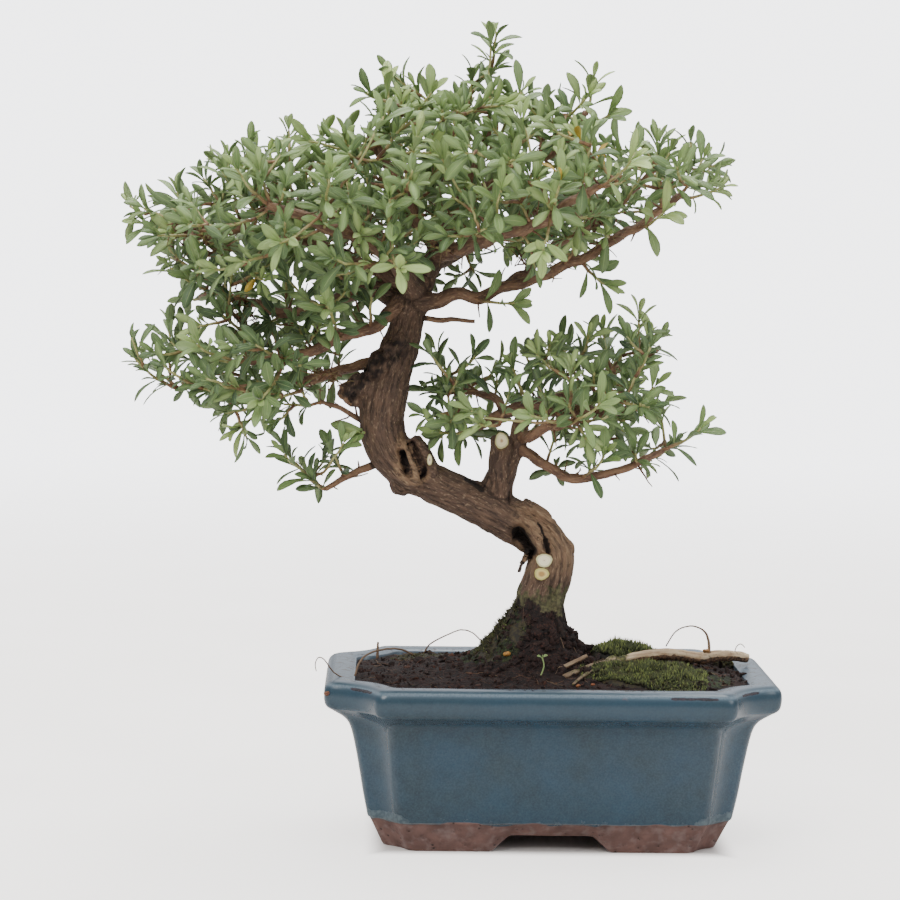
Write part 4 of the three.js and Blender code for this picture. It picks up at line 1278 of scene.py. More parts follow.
LIMBS = {
    "right_main": [(-45.5, 0, 161.5, 3.6), (-33, -3, 163.8, 2.2), (-15.5, -6, 167.5, 1.9),
        (2, -8, 174, 1.7), (11, -8, 178.5, 1.6), (24, -8, 186, 1.4), (37.5, -6, 196.5, 1.1)],
    "left_main": [(-44, 0, 163, 3.2), (-50.5, -2, 159.4, 2.2), (-57, -4, 155, 1.9),
        (-65, -7, 152, 1.9), (-72.5, -10, 148, 1.7), (-82, -14, 145.5, 1.7),
        (-93.5, -18, 144.5, 1.2)],
    "upper_left": [(-45, 2, 162, 3.6), (-57.5, 4, 166.5, 2.4), (-69, 6, 161.5, 2),
        (-77, 8, 158, 1.7), (-88, 10, 159.5, 1.6), (-101.5, 10, 163.5, 1.2)],
    "low_left": [(-52, 2, 143, 2.4), (-64, 4, 142, 1.7), (-84.5, 8, 136, 1.5),
        (-108.5, 8, 136, 1.1), (-115.5, 7, 134.5, 0.9)],
    "back_left": [(-43, 3, 166, 3.6), (-50.5, 22, 178.5, 2.8), (-65, 36, 187, 2),
        (-83, 42, 192, 1.2)],
    "front_left": [(-43, -2, 166.5, 3.4), (-51.5, -20, 178, 2.6), (-67, -34, 184.5, 1.9),
        (-86.5, -38, 191, 1.2)],
    "left_high": [(-41, 0, 168.5, 3.2), (-60, 2, 174.5, 2.2), (-78.5, 2, 181, 1.8),
        (-96.5, 0, 184.5, 1.4), (-111.5, 0, 182, 1.1)],
    "crown_left": [(-36, 2, 178.5, 2.6), (-45, -4, 192, 2.1), (-51.5, -8, 204, 1.6),
        (-56.5, -10, 212.5, 1.5)],
    "crown_right": [(-28, 0, 195, 2), (-12.5, 4, 204, 1.6), (0, 6, 212, 1.3), (9, 6, 221.5, 1)],
    "back_right": [(-37, 2, 175, 3), (-19.5, 24, 183.5, 2.2), (0, 36, 193.5, 1.6),
        (18, 40, 201.5, 1.1)],
    "front_right": [(-36.5, 1, 177, 2.8), (-21.5, -22, 182, 2.2), (-5.5, -34, 188, 1.6),
        (10, -38, 198, 1.1)],
    "right_back": [(-15.5, -5, 167.5, 2), (2, 14, 180.5, 1.6), (19.5, 20, 193.5, 1.3),
        (31.5, 18, 204.5, 1)],
    "stub": [(-17, 0, 100, 5.2), (-16, -1, 109.5, 4.4), (-12.5, -1, 116, 3.4), (-10, 0, 122, 3),
        (-9, 2, 126.5, 2.6), (-6, 4, 131, 2.2)],
    "cut_stub": [(-16.5, -1, 104, 4.4), (-16, -3, 114, 3.6), (-16, -5, 122, 3.3)],
    "pad_middle": [(-23, 4, 124, 1.4), (-14.5, 3, 128.5, 1.9), (-6, 2, 130.5, 2.3),
        (9, -2, 129.5, 1.9), (22, -4, 130.5, 1.4), (28, -5, 132, 0.9)],
    "pad_low": [(-11, -1, 118.5, 1.9), (-2, -6, 113.5, 1.6), (7.5, -10, 110, 1.5),
        (21.5, -12, 113, 1.2), (33, -12, 119, 0.9)],
    "pad_upper": [(1, 1, 130.5, 1.7), (9.5, 6, 137, 1.6), (18.5, 9, 142, 1.4), (28, 12, 146, 1.1),
        (34, 12, 149.5, 0.8)],
    "pad_back": [(-6, 4, 131, 2), (3.5, 22, 133.5, 1.5), (17, 34, 137.5, 1)],
    "pad_front": [(-10, 0, 121, 1.8), (-5, -18, 125, 1.5), (6, -30, 129, 1)],
    "pad_left": [(-14.5, 3, 128.5, 1.6), (-19, 6, 134, 1.2), (-27, 8, 135, 0.9)],
    "low_twig": [(-50, 0, 115, 1.4), (-62.5, -2, 109, 1.1), (-69.5, -3, 105, 0.8)],
    "bare_twig_left": [(-50, 0, 122.5, 1.1), (-60, 0, 127, 0.9), (-71.5, -1, 132, 0.6)],
    "bare_twig_right": [(-45, 0, 157.5, 1), (-24.5, -2, 157, 0.6)],
}
# Rolls of callus, strands and stubs that stand on the trunk's front
TRUNK_FEATURES = {
    "hollow_rim": [(-47.6, -3.2, 121.5, 1.5), (-46.6, -5.6, 117.4, 1.35), (-46.9, -6, 112.4, 1.35),
        (-46, -6.8, 109.4, 1.4), (-43.6, -7.6, 107.8, 1.5), (-40.8, -7, 108.6, 1.4),
        (-39.2, -5.6, 110.5, 1.2)],
    "hollow_strand": [(-45.6, -5.6, 120.3, 1.5), (-43.9, -7.6, 116.2, 1.7),
        (-42.4, -8.4, 112.6, 1.7), (-41.3, -8, 109.8, 1.5)],
    "hollow_fold": [(-43.4, -4.4, 121.4, 1.7), (-39.9, -5, 117.6, 1.9), (-37.4, -5.2, 112.5, 2.1),
        (-36.8, -4.6, 108.6, 2)],
    "hollow_wall": [(-43.5, 0, 120.5, 3.4), (-40.4, 0, 114.5, 4), (-38, 0, 109, 4)],
    "fold_left": [(-13.5, -3.8, 97.2, 1.6), (-10.2, -5.4, 97.6, 1.8), (-7, -6.4, 96.2, 2),
        (-5, -6.8, 93.4, 2.1), (-4.1, -6.8, 90.2, 2), (-3.7, -6.2, 86.8, 1.8)],
    "fold_right": [(-9, -3, 101.5, 2), (-2.4, -5, 98, 1.7), (1.4, -5.4, 92.5, 1.6),
        (1.8, -5, 86.5, 1.7), (1.4, -4.6, 80, 1.5)],
    "fold_end": [(-13.8, -4.6, 95.6, 1.2), (-12.8, -5.2, 92, 1), (-11.8, -5, 89, 0.7)],
    "upper_stub": [(-2.2, -4.5, 84, 2.9), (-2.2, -7.2, 84.1, 2.8), (-2.2, -8.1, 84.2, 2.75)],
    "lower_stub": [(-3, -4.5, 79.9, 2.5), (-3, -7.1, 80.1, 2.4), (-3, -7.9, 80.2, 2.3)],
    "pale_stub": [(-38, -2, 108, 1.9), (-37.8, -4.8, 112, 1.5), (-37.8, -6, 115.6, 1.1)],
    "knee": [(-46.8, 0, 111, 4), (-46.6, -0.6, 106, 3.4), (-46.8, -1, 103.2, 2.2)],
    "elbow": [(5.5, -1, 88, 2.2), (4.8, -1.5, 84, 2.2), (4.6, -1.5, 77, 2)],
    "snag": [(-7.8, -4.6, 85, 1.1), (-9.2, -5.4, 82.4, 0.95), (-10.1, -5.8, 80.2, 0.8)],
    "root_flute_left": [(-3.5, -5, 76, 1.6), (-3.8, -6.6, 68, 1.4), (-5, -8.2, 60, 1.6)],
    "root_flute_right": [(2.5, -4.4, 78, 1.3), (2.4, -6.6, 68, 1.2), (3.4, -8.4, 60, 1.5)],
    "wound_lip": [(-46.8, -3.8, 152, 1.5), (-49, -5.2, 145, 1.2), (-51.3, -5.4, 138, 1.3),
        (-52, -5, 131, 1.2)],
}
KNOBS = [
    ((-53.4, 0, 140.5), (4.4, 5.2, 8)),
    ((-57.5, -1.5, 137), (3, 3.6, 4.6)),
    ((-49.8, -3, 148), (2.4, 3, 4)),
    ((-45, 1, 162), (6.6, 6, 5)),
    ((4.4, 0.5, 87.5), (2.8, 4, 3.4)),
    ((-20.5, -1, 103.5), (3.4, 4, 2.6)),
    ((-60, -0.5, 137), (3.6, 3.4, 3.8)),
    ((-63.6, -1.4, 134.6), (3.2, 2.6, 3.4)),
    ((-60.8, -1, 132.2), (2.2, 2, 2)),
]
# Dents: the middle of each, its half width, its depth and how dark it is painted inside, as painted
# shade
DENTS = [
    ([(-10.3, -6, 92.2), (-8.9, -7, 89.2), (-7.3, -7, 86)], 2.1, 8, 1.0),
    ([(-1.8, -7.5, 90.6), (-1.3, -7.5, 89), (-1, -7.5, 87)], 0.75, 2.8, 1.0),
    ([(-6.2, -6, 97.2), (-3.4, -7, 94.8), (-2.2, -7.5, 91.6)], 0.4, 1.2, 0.9),
    ([(-8, -4, 98.9), (-6.5, -4.2, 98.5), (-5, -4.4, 97.5)], 0.62, 1.8, 0.95),
    ([(-11.2, -5, 96), (-9.6, -5.4, 97.6), (-8, -5.6, 98)], 0.5, 1.2, 0.9),
    ([(-46.6, -7, 117), (-45.4, -8, 113.8), (-44.4, -8, 111.2)], 0.8, 5.5, 1.0),
    ([(-43.5, -7, 119.6), (-41.5, -8, 115.2), (-39.6, -8, 111.4),
      (-39.4, -7, 109.6)], 0.9, 5.5, 1.0),
    ([(-48.4, -6, 107), (-45.4, -7, 105.2), (-41.5, -6.5, 104.6)], 0.8, 1.6, 0.95),
    ([(-26, -3, 109), (-24, -4, 107.8), (-21.6, -4.5, 105.8)], 1.1, 1.2, 0.75),
    ([(-7.2, -7, 83.5), (-6.8, -8, 76), (-7.6, -9, 68)], 0.7, 0.9, 0.7),
    ([(-0.2, -8, 76), (0.4, -9, 68), (0.2, -10, 62)], 0.7, 0.8, 0.7),
    ([(-13, -4, 105), (-13.2, -4, 101)], 0.5, 0.8, 0.6),
]
# Features whose bark is worn to bare wood: how bare, and over what distances that ends
BARE_PLACES = [
    ("hollow_wall", 0.7, 2.6, 1.4), ("fold_left", 0.35, 2.6, 1.4), ("lower_stub", 0.9, 1.9, 1.2),
    ("hollow_rim", 0.5, 2.5, 1.5), ("hollow_strand", 0.5, 2.5, 1.5),
]
SNAG_END = [(-8.8, -5.2, 83), (-10.1, -5.8, 80.2)]
WOUND = [(-47, -5, 149), (-51, -4, 145.5), (-55.5, -3, 142), (-59, -2, 138), (-63, -1, 134.5)]
BARK_VOXEL = 0.55
LEAST_SKIN = 1.6


def limb_path(line, spacing=1.1, kink=0.0, seed=0):
    """A member's smooth middle, evenly spaced, with small kinks between its ends."""
    path = curve_through(line, 24)
    along = lengths_along(path)
    even = np.linspace(0, along[-1], max(int(along[-1] / spacing), 3) + 1)
    path = np.column_stack([np.interp(even, along, path[:, k]) for k in range(4)])
    held = np.minimum(ease(even, 0, 10), ease(even[-1] - even, 0, 10))[:, None]
    bends = np.column_stack([noise(path[:, :3], 8, seed + k) for k in (1, 2, 3)])
    path[:, :3] += kink * held * bends
    path[:, 3] *= 1 + 0.09 * held[:, 0] * noise(path[:, :3], 3.2, seed + 4)
    return path


LIMB_PATHS = {name: limb_path(line, kink=1.5 if name.endswith("stub") else 2.2, seed=20 * k)
              for k, (name, line) in enumerate(LIMBS.items())}

# How far apart the grain of one member is from the next one's
GRAIN_SHIFT = 37.0


class Wood:
    """Every wooden middle line, for finding how a point lies along the member nearest to it."""

    def __init__(self, paths):
        self.middle = np.vstack([path[:, :3] for path in paths])
        self.radius = np.concatenate([path[:, 3] for path in paths])
        frames = [frames_along(path[:, :3]) for path in paths]
        self.tangent, self.normal, self.sideways = (np.vstack(part) for part in zip(*frames))
        self.along = np.concatenate([GRAIN_SHIFT * k + lengths_along(path)
                                     for k, path in enumerate(paths)])

    def nearest(self, points, block=4000):
        """Each point's nearest place on the wood, by distance from the bark, and that distance."""
        best, gaps = [], []
        for start in range(0, len(points), block):
            part = points[start:start + block].astype(np.float32)
            away = part[:, None] - self.middle.astype(np.float32)
            gap = np.sqrt(np.einsum("nmk,nmk->nm", away, away)) - self.radius.astype(np.float32)
            k = np.argmin(gap, axis=1)
            best.append(k)
            gaps.append(gap[np.arange(len(part)), k])
        return np.concatenate(best), np.concatenate(gaps)

    def grain(self, points):
        """Places in the nearest member's own frame, across and along, and its radius there."""
        k, _ = self.nearest(points)
        away = points - self.middle[k]
        ways = (self.normal, self.sideways, self.tangent)
        across, deep, reach = (np.sum(away * way[k], axis=1) for way in ways)
        return np.column_stack([across, deep, self.along[k] + reach]), self.radius[k]


wood = Wood([limb_path(line) for line in (TRUNK_LINE, *ROOTS)] + list(LIMB_PATHS.values()))


def from_line(points, line):
    """Distance from each point to a line of points."""
    line = np.asarray(line, dtype=float)[:, :3]
    best = np.full(len(points), 1e9)
    for a, b in zip(line, line[1:]):
        step = b - a
        share = np.clip((points - a) @ step / (step @ step), 0, 1)
        best = np.minimum(best, np.linalg.norm(points - a - share[:, None] * step, axis=1))
    return best


def softened(points, edges, rounds, share=0.5):
    """Points moved towards the middle of their neighbours."""
    a, b = edges.T
    count = np.bincount(edges.ravel(), minlength=len(points))[:, None]
    for _ in range(rounds):
        total = np.column_stack([
            np.bincount(a, points[b, k], len(points)) + np.bincount(b, points[a, k], len(points))
            for k in range(3)
        ])
        points = points + share * (total / np.maximum(count, 1) - points)
    return points


def bark_values(points, grain, girth, dark):
    """The values that the bark's material reads."""
    height = points[:, 2]
    rough_wound = ease(from_line(points * (1, 0.6, 1), np.array(WOUND) * (1, 0.6, 1)), 5.6, 1.5)
    snag = ease(from_line(points, SNAG_END), 1.7, 1.2)
    foot = ease(height, 84, 66)
    left = ease(-points[:, 0], -1, 5)
    film = foot * (0.66 - 0.1 * left + 0.4 * noise(points * (1, 1, 0.3), 1.7, 95))
    under = 0.12 * ease(height, 180, 120)
    bend = ease(height, 76, 84) * ease(height, 106, 98) * ease(points[:, 0], -14, -8)
    bare = bend * (0.42 + 0.3 * noise(points, 3, 94))
    for name, shade, far, near in BARE_PLACES:
        bare = np.maximum(bare, shade * ease(from_line(points, TRUNK_FEATURES[name]), far, near))
    lumpy_wound = rough_wound * (1 + 0.8 * lumps(points, 1.8, 2, 93))
    return {
        "grain": grain * MM,
        "girth": girth,
        # Painted shade of cracks and dents, with the real dark of the snag's end and the wound.
        "painted_shade_and_scars": np.clip(np.maximum.reduce([dark, 0.6 * snag, 0.6 * lumpy_wound]), 0, 1),
        "mossy": np.clip(film + under, 0, 0.9),
        "earthy": ease(height - 3 * left + 4 * noise(points * (1, 1, 0.4), 2.4, 91), 77, 58),
        "bare": bare,
    }


def bark_relief(grain, girth):
    """How far the bark stands out, in millimetres, and how deep in a crack each point lies, which
    the bark's colour darkens as painted shade.
    """
    fibres = noise(grain * (1, 1, 0.2), 1.3, 71)
    crack = ease(np.abs(noise(grain * (1, 1, 0.22), 1.9, 72)), 0.13, 0.0)
    plates = noise(grain * (1, 1, 0.45), 2.6, 73)
    slow = noise(grain * (1, 1, 0.6), 8.0, 74)
    size = np.clip(girth / 7, 0.12, 1.2)
    rise = size * (0.26 * fibres - 0.34 * crack + 0.2 * plates + 0.4 * slow)
    return rise, 0.55 * crack * ease(girth, 1.5, 4)


def make_tree():
    pile = Pile()
    thick = [limb_path(line) for line in (TRUNK_LINE, *ROOTS, *TRUNK_FEATURES.values())]
    for path in LIMB_PATHS.values():
        stout = np.flatnonzero(path[:, 3] < LEAST_SKIN)
        end = stout[0] if len(stout) else len(path)
        if end > 4:
            part = path[:end].copy()
            if end < len(path):
                part[-3:, 3] *= (0.9, 0.7, 0.45)
            thick.append(part)
    for path in thick:
        add_tube(pile, path, 20 if path[0, 3] > 3 else 12)
    for centre, radii in KNOBS:
        points, faces = egg(centre, radii, 16, 20)
        points += unit(points - centre) * (1.2 * lumps(points, 3.2, 2, 5))[:, None]
        pile.add(points, faces)
    body = pile.make("tree_core", None)
    skin = applied(body, "REMESH", mode="VOXEL", voxel_size=BARK_VOXEL * MM)
    points = (read_vectors(skin.vertices, "co") - POT_PLACE) / MM
    edges = np.empty(len(skin.edges) * 2, dtype=np.int32)
    skin.edges.foreach_get("vertices", edges)
    points = softened(points, edges.reshape(-1, 2), 3)
    skin.vertices.foreach_set("co", to_frame(points).ravel().astype(np.float32))
    skin.update()
    normals = read_vectors(skin.vertex_normals, "vector")
    grain, girth = wood.grain(points)
    rise, dark = bark_relief(grain, girth)
    wound = ease(from_line(points, WOUND), 6.5, 2.5)
    rise = rise + wound * 1.1 * lumps(points, 3.2, 3, 81)
    points = points + normals * rise[:, None]
    flat = np.array([1, 0.35, 1])
    for line, width, depth, shade in DENTS:
        share = np.exp(-(from_line(points * flat, np.array(line) * flat) / width) ** 2)
        share = share * (normals[:, 1] < 0.35)
        inward = unit(-normals + np.array([0, 1.4, 0]))
        points = points + inward * (depth * share)[:, None]
        # Painted shade: dents and slots are painted dark inside.
        dark = np.maximum(dark, shade * ease(share, 0.15, 0.6))
    skin.vertices.foreach_set("co", to_frame(points).ravel().astype(np.float32))
    set_values(skin, bark_values(points, grain, girth, dark))
    skin.update()
    skin.polygons.foreach_set("use_smooth", np.ones(len(skin.polygons), dtype=bool))
    skin.materials.clear()
    skin.materials.append(BARK)
    finish_piece(show("tree_wood", skin), "bark", "trunk")


def make_fine_limbs():
    """The slim ends of the limbs, which come out of the thick wood's skin."""
    pile = Pile()
    for path in LIMB_PATHS.values():
        slim = np.flatnonzero(path[:, 3] < LEAST_SKIN)
        if len(slim) == 0:
            continue
        start = max(slim[0] - 8, 0)
        part = path[start:].copy()
        part[:, 3] *= np.clip(0.78 + 0.06 * np.arange(len(part)), 0, 1)
        points, faces = closed_tube(tube_rings(part, 9))
        grain, girth = wood.grain(points)
        rise = 0.16 * noise(grain * (1, 1, 0.4), 1.3, 75)
        points += unit(points - wood.middle[wood.nearest(points)[0]]) * rise[:, None]
        pile.add(points, faces, **bark_values(points, grain, girth, np.zeros(len(points))))
    pile.finish("slim_limbs", BARK, "bark")


make_tree()
make_fine_limbs()

# Sawn faces: centre, the way each looks, half width, half height, warmth
SAWN_FACES = [
    ("sawn_face_upper", (-2.4, -8.45, 84.5), (0, -1, 0.08), 2.7, 2.25, 0.0),
    ("sawn_face_lower", (-3.1, -8.3, 80.3), (0, -1, -0.05), 2.45, 2.05, 1.0),
    ("sawn_face_stub", (-16.0, -8.3, 121.0), (0, -0.95, 0.35), 2.2, 2.8, 0.35),
    ("sawn_face_pale", (-37.8, -7.2, 114.8), (0, -1, 0.2), 0.85, 1.9, 0.4),
    ("sawn_face_twig", (-56.2, -10.2, 213), (0.5, -0.5, 0.6), 1.2, 1.2, 0.4),
]


def make_sawn_faces():
    """Flat cut ends with a shallow saw texture, set on their stubs."""
    rings, sides = 9, 32
    angles, cosines, sines = circle(sides)
    shares = np.linspace(0, 1, rings + 1)[1:]
    for seed, (name, centre, facing, wide, tall, warm) in enumerate(SAWN_FACES):
        facing = unit(facing)
        right = unit(np.cross((0, 0, 1), facing))
        rise = np.cross(facing, right)
        ragged = 1 + 0.04 * np.sin(3 * angles + seed) + 0.015 * np.sin(5 * angles + 2 * seed)
        ragged = ragged + 0.02 * np.sin(11 * angles)
        across = shares[:, None] * wide * cosines * ragged
        upward = shares[:, None] * tall * sines * ragged
        front = np.asarray(centre) + across[..., None] * right + upward[..., None] * rise
        sawn = 0.06 * noise(front.reshape(-1, 3), 0.6, seed)
        front = front + sawn.reshape(rings, sides, 1) * facing
        front[-1] -= 0.25 * facing
        back = front[[-1]] - 1.3 * facing
        points, faces = closed_tube(np.concatenate([back, front[::-1]]))
        out = np.concatenate([np.ones(sides), np.repeat(shares[::-1], sides), [1, 0]])
        pile = Pile()
        pile.add(points, faces, rings=out, warm=warm)
        pile.finish(name, CUT, "dead_wood")


make_sawn_faces()


# Leaves and twigs

TWIG_SAG = 0.12
FORK_AT = 0.35
LEAF_LENGTH = (9.0, 13.0)
LEAF_PAIR_STEP = 0.9
PAIRS_BELOW_TIP = (1.2, 4.5, 10)
PAIRS_ON_FORK = 2
FURTHER_PAIRS = (14.5, 19, 23.5, 28)
UP = np.array([0.0, 0.0, 1.0])
# Each spray grows from its base on the wood, and forks once for each further tip.
SPRAYS = {
    "apex": [(-21, -4, 213.5), (-21, -4, 242), (-41, 3, 221)],
    "fan": [(-52, -8, 204), (-52, -12, 227), (-39, -20, 225), (-39, -31, 207), (-75, -25, 210)],
    "crown_back": [(-31, 1, 188), (-28, 20, 224), (-49, 23, 215)],
    "crown_front": [(-24.5, -2, 205), (-12, -14, 226)],
    "crown_right": [(-5, 5, 209), (-3, 18, 224), (15, -8, 220)],
    "upper_right": [(9, 6, 220.5), (11, 6, 231)],
    "right_top": [(31, 18, 204), (33, 20, 213), (13, 28, 205)],
    "right_end": [(37, -6, 196), (43, -12, 207), (47, -4, 200), (19, -3, 207)],
    "right_under": [(24, -8, 186), (31, -20, 191)],
    "right_spur": [(7, -8, 176), (14, -12, 169)],
    "front_right_mid": [(-5, -34, 188), (-2, -50, 199), (-7, -52, 179), (-13, -35, 217),
        (-1, -25, 206)],
    "front_right_end": [(9.5, -38, 197.5), (18, -48, 205), (22, -22, 209)],
    "front_right_low": [(-22, -22, 182), (-19, -48, 196), (-36, -39, 205)],
    "back_right_low": [(-19, 24, 183), (-16, 42, 204), (-39, 31, 205)],
    "back_right_mid": [(0, 36, 193), (9, 52, 208), (6, 54, 184)],
    "back_right_end": [(17, 40, 201), (31, 46, 207)],
    "right_middle": [(2, -8, 174), (8, -16, 190)],
    "right_low": [(-26, -5, 165), (-13, -14, 163)],
    "left_front_mid": [(-71, -35, 186), (-68, -52, 200), (-82, -56, 180), (-53, -39, 217)],
    "left_front_end": [(-86, -38, 191), (-95, -46, 201), (-95, -25, 194)],
    "left_front_low": [(-51, -20, 178), (-51, -48, 193), (-48, -50, 173), (-37, -21, 189)],
    "left_back_mid": [(-65, 36, 187), (-67, 50, 205), (-77, 58, 179), (-64, 26, 210)],
    "left_back_end": [(-83, 42, 192), (-98, 48, 200), (-93, 18, 205)],
    "left_back_low": [(-51, 22, 178), (-48, 48, 199), (-47, 54, 174), (-35, 36, 185)],
    "left_high_mid": [(-78, 2, 181), (-82, 0, 208), (-78, -22, 183)],
    "left_high_end": [(-96, 0, 184), (-101, 4, 205)],
    "left_far": [(-111, 0, 182), (-116, 4, 195), (-125, -4, 185), (-119, 32, 184)],
    "left_far_low": [(-101, 10, 163.5), (-118, 4, 172), (-114, 28, 162), (-103, 33, 184)],
    "left_top": [(-60, 2, 175), (-65, 6, 213), (-64, -17, 197)],
    "low_left_tip": [(-115, 7, 134.5), (-124, 6, 143), (-119, 14, 153)],
    "low_left_front": [(-93, -18, 144.5), (-107, -32, 150)],
    "low_left_hanging": [(-84, 8, 136), (-96, 2, 123), (-95, 36, 143)],
    "low_left_near": [(-82, -14, 145.5), (-88, -36, 134)],
    "low_left_back": [(-64, 4, 142), (-73, 34, 137)],
    "low_left_inner": [(-65, -7, 153), (-69, -38, 162)],
    "low_left_behind": [(-77, 8, 158), (-84, 40, 162)],
    "low_spray": [(-69, -3, 105), (-82, -8, 116), (-64, -14, 120)],
    "pad_left": [(-27, 8, 135), (-36, 8, 147)],
    "pad_low_left": [(-23, 4, 124), (-35, -6, 123), (-19, 25, 125)],
    "pad_inner": [(-6, 2, 130.5), (-13, -6, 143)],
    "pad_middle": [(10, 6, 137), (2, 0, 150)],
    "pad_top": [(18, 9, 142), (16, 10, 153)],
    "pad_top_right": [(28, 12, 146), (30, 10, 152)],
    "pad_right": [(22, -4, 130.5), (30, -10, 138)],
    "pad_tip": [(32.5, -12, 119), (44, -14, 126)],
    "pad_low": [(8, -10, 110), (14, -24, 118)],
    "pad_front": [(1, -24, 127), (11, -42, 135), (-9, -42, 131), (-26, -24, 131)],
    "pad_back": [(10, 28, 135), (29, 44, 141), (1, 44, 140)],
}
# Front outlines of the leafy masses, as (x, z), how deep each is and how closely its shoots stand
CLOUDS = {
    "crown": ([(-135, 191), (-124, 199), (-109, 208), (-103, 215), (-88, 219), (-68, 223),
        (-65, 233), (-51, 237), (-36, 236), (-24, 248), (-17, 248), (-13, 236), (2, 233), (10, 238),
        (19, 230), (25, 221), (42, 219), (53, 213), (56, 200), (41, 192), (29, 184), (17, 169),
        (2, 166), (-11, 164), (-23, 164), (-35, 160), (-47, 158), (-66, 152), (-78, 154),
        (-108, 157), (-125, 167), (-131, 180)], 54, 12.4),
    "low_left": ([(-136, 152), (-122, 162), (-100, 168), (-75, 168), (-59, 161), (-58, 150),
        (-64, 137), (-68, 128), (-81, 124), (-94, 118), (-104, 117), (-114, 120), (-124, 133),
        (-136, 140)], 40, 12.4),
    "low_spray": ([(-95, 118), (-81, 128), (-67, 127), (-56, 116), (-64, 103), (-77, 99),
        (-87, 108)], 18, 10),
    "pad": ([(-43, 149), (-28, 152), (-23, 156), (-6, 158), (11, 163), (19, 165), (28, 162),
        (40, 157), (38, 138), (45, 133), (57, 130), (52, 124), (42, 116), (28, 103), (15, 107),
        (0, 101), (-7, 109), (-22, 111), (-34, 111), (-43, 120), (-48, 133)], 42, 12.2),
    "beside_trunk": ([(-46, 152), (-22, 156), (-18, 128), (-24, 112), (-38, 110),
        (-45, 122)], 20, 9.5),
}
# Further tips as seen, where a shoot reaches out of its mass or its leaves turn to the front
FURTHER_TIPS = [
    (-130, 0, 190.5), (-129.5, 2, 150.5), (-128.5, 3, 144), (49, -6, 198.5), (-50.8, -4, 231),
    (-44, -5, 228), (-19.4, -5, 244.5), (-68, -6, 117.5), (-59.5, -6, 122), (-94, 0, 120.5),
    (-84, -4, 126), (-100, -4, 128), (-38, -8, 147), (-29, -9, 128), (-33, -8, 137), (-24, -7, 147),
    (-73, -8, 108), (-90, -12, 132), (-40, -7, 128), (25, -9, 160), (-78, -10, 130),
]
# Yellowed leaves, as (x, z), and tangles of dead twigs with how far each spreads
YELLOWED = [(-5.7, 206), (3.8, 213.5), (11.1, 208.8), (-2.1, 201.8), (-92.1, 167.9)]
TANGLES = [
    ((-86, -14, 192), 7), ((-112.5, -8, 183), 6), ((-103.5, -10, 179.5), 5),
    ((-70.5, -4, 140), 5.5), ((-33, -14, 186), 7), ((12, -12, 186), 6), ((-58, -8, 182), 7),
    ((-6, -6, 178), 7), ((-96, -8, 160), 6), ((5, -4, 131), 6),
]
SPUR_COUNT = 230
TIP_INSET = 6.0
# How near a shoot's tip may stand to a spray's and to the wood, and the shortest shoot
TIP_GAP = 7
WOOD_GAP = 4
LEAST_SHOOT = 6
SPRAY_LEAF_GAP = 1.3
SHOOT_LEAF_GAP = 1.9
SHOOT_JOINTS = (0.35, 0.55, 0.75)
SPRAY_SEED = 500
TARGET_SEED = 900
# The middle of the sawn stub's face and the room round it that stands bare
STUB_MIDDLE = (-14.8, 114.5)
STUB_ROOM = (8, 12)
ROOM_LOW = (np.array(cad_box[0]) - POT_PLACE) / MM
ROOM_HIGH = (np.array(cad_box[1]) - POT_PLACE) / MM


def draw(*keys):
    """A number from 0 to 1 that depends only on the keys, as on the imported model's leaves."""
    state = 20817
    for key in keys:
        state = ((state ^ (key + 1)) * 0x9E3779B1) & 0xFFFFFFFF
        state ^= state >> 15
    state = (state * 0x85EBCA6B) & 0xFFFFFFFF
    return (state ^ (state >> 13)) / 4294967296


class Twig:
    """A twig from its foot to its tip, which sags a little and rises at the end."""

    def __init__(self, start, end, foot, tip=0.34, sag=TWIG_SAG):
        self.start = np.asarray(start, dtype=float)
        self.end = np.asarray(end, dtype=float)
        self.bend = (self.start + self.end) / 2
        self.bend[2] -= sag * np.linalg.norm(self.end - self.start)
        self.foot = foot
        self.tip = tip
        self.length = np.sum(np.linalg.norm(np.diff(self.points(21), axis=0), axis=1))
        across = np.cross(UP, self.end - self.start)
        self.across = unit(across) if np.linalg.norm(across) > 0.5 else np.array([1.0, 0.0, 0.0])

    def point(self, t):
        return bent(t, self.start, self.bend, self.end)

    def tangent(self, t):
        return unit((1 - t) * (self.bend - self.start) + t * (self.end - self.bend))

    def points(self, count):
        return np.array([self.point(t) for t in np.linspace(0, 1, count)])


class Leaves:
    """Leaves waiting to be made: a list of facts for each."""

    def __init__(self):
        self.rows = []

    def add_on(self, twig, at, around, degrees, long, light, youth=0.0):
        """A leaf at a share of the way along a twig, opened from it by an angle."""
        self.add(twig.point(at), twig.tangent(at), twig.across, around, math.radians(degrees),
                 long, light, youth)

    def add(self, joint, stem, across, around, opening, long, light, youth):
        rise = np.cross(stem, across)
        side = rise * math.cos(around) + across * math.sin(around)
        along = stem * math.cos(opening) + side * math.sin(opening)
        face = stem + 0.5 * UP + (0, 0.6 * np.clip(joint[1] / 15, -1, 1) - 0.3, 0)
        face = unit(face - along * np.dot(face, along))
        self.rows.append(np.concatenate([joint, along, face, [long, light, youth, 0]]))


LEAF_ROWS = np.array([0, 0.1, 0.26, 0.46, 0.66, 0.83, 0.95, 1.0])
LEAF_HALF = np.array([0.12, 0.16, 0.44, 0.8, 1.0, 0.84, 0.44, 0.08])
BROAD_COLUMNS = np.array([-1, -0.55, 0, 0.55, 1])
SMALL_COLUMNS = np.array([-1, 0, 1])
# A leaf's width over its length
LEAF_SHAPE = 0.31
SMALL_SHAPE = 0.295


def along_leaf(rows, share):
    """Where on each leaf a share of its length lies."""
    return rows[..., 0:3] + rows[..., 3:6] * share * rows[..., 9:10]


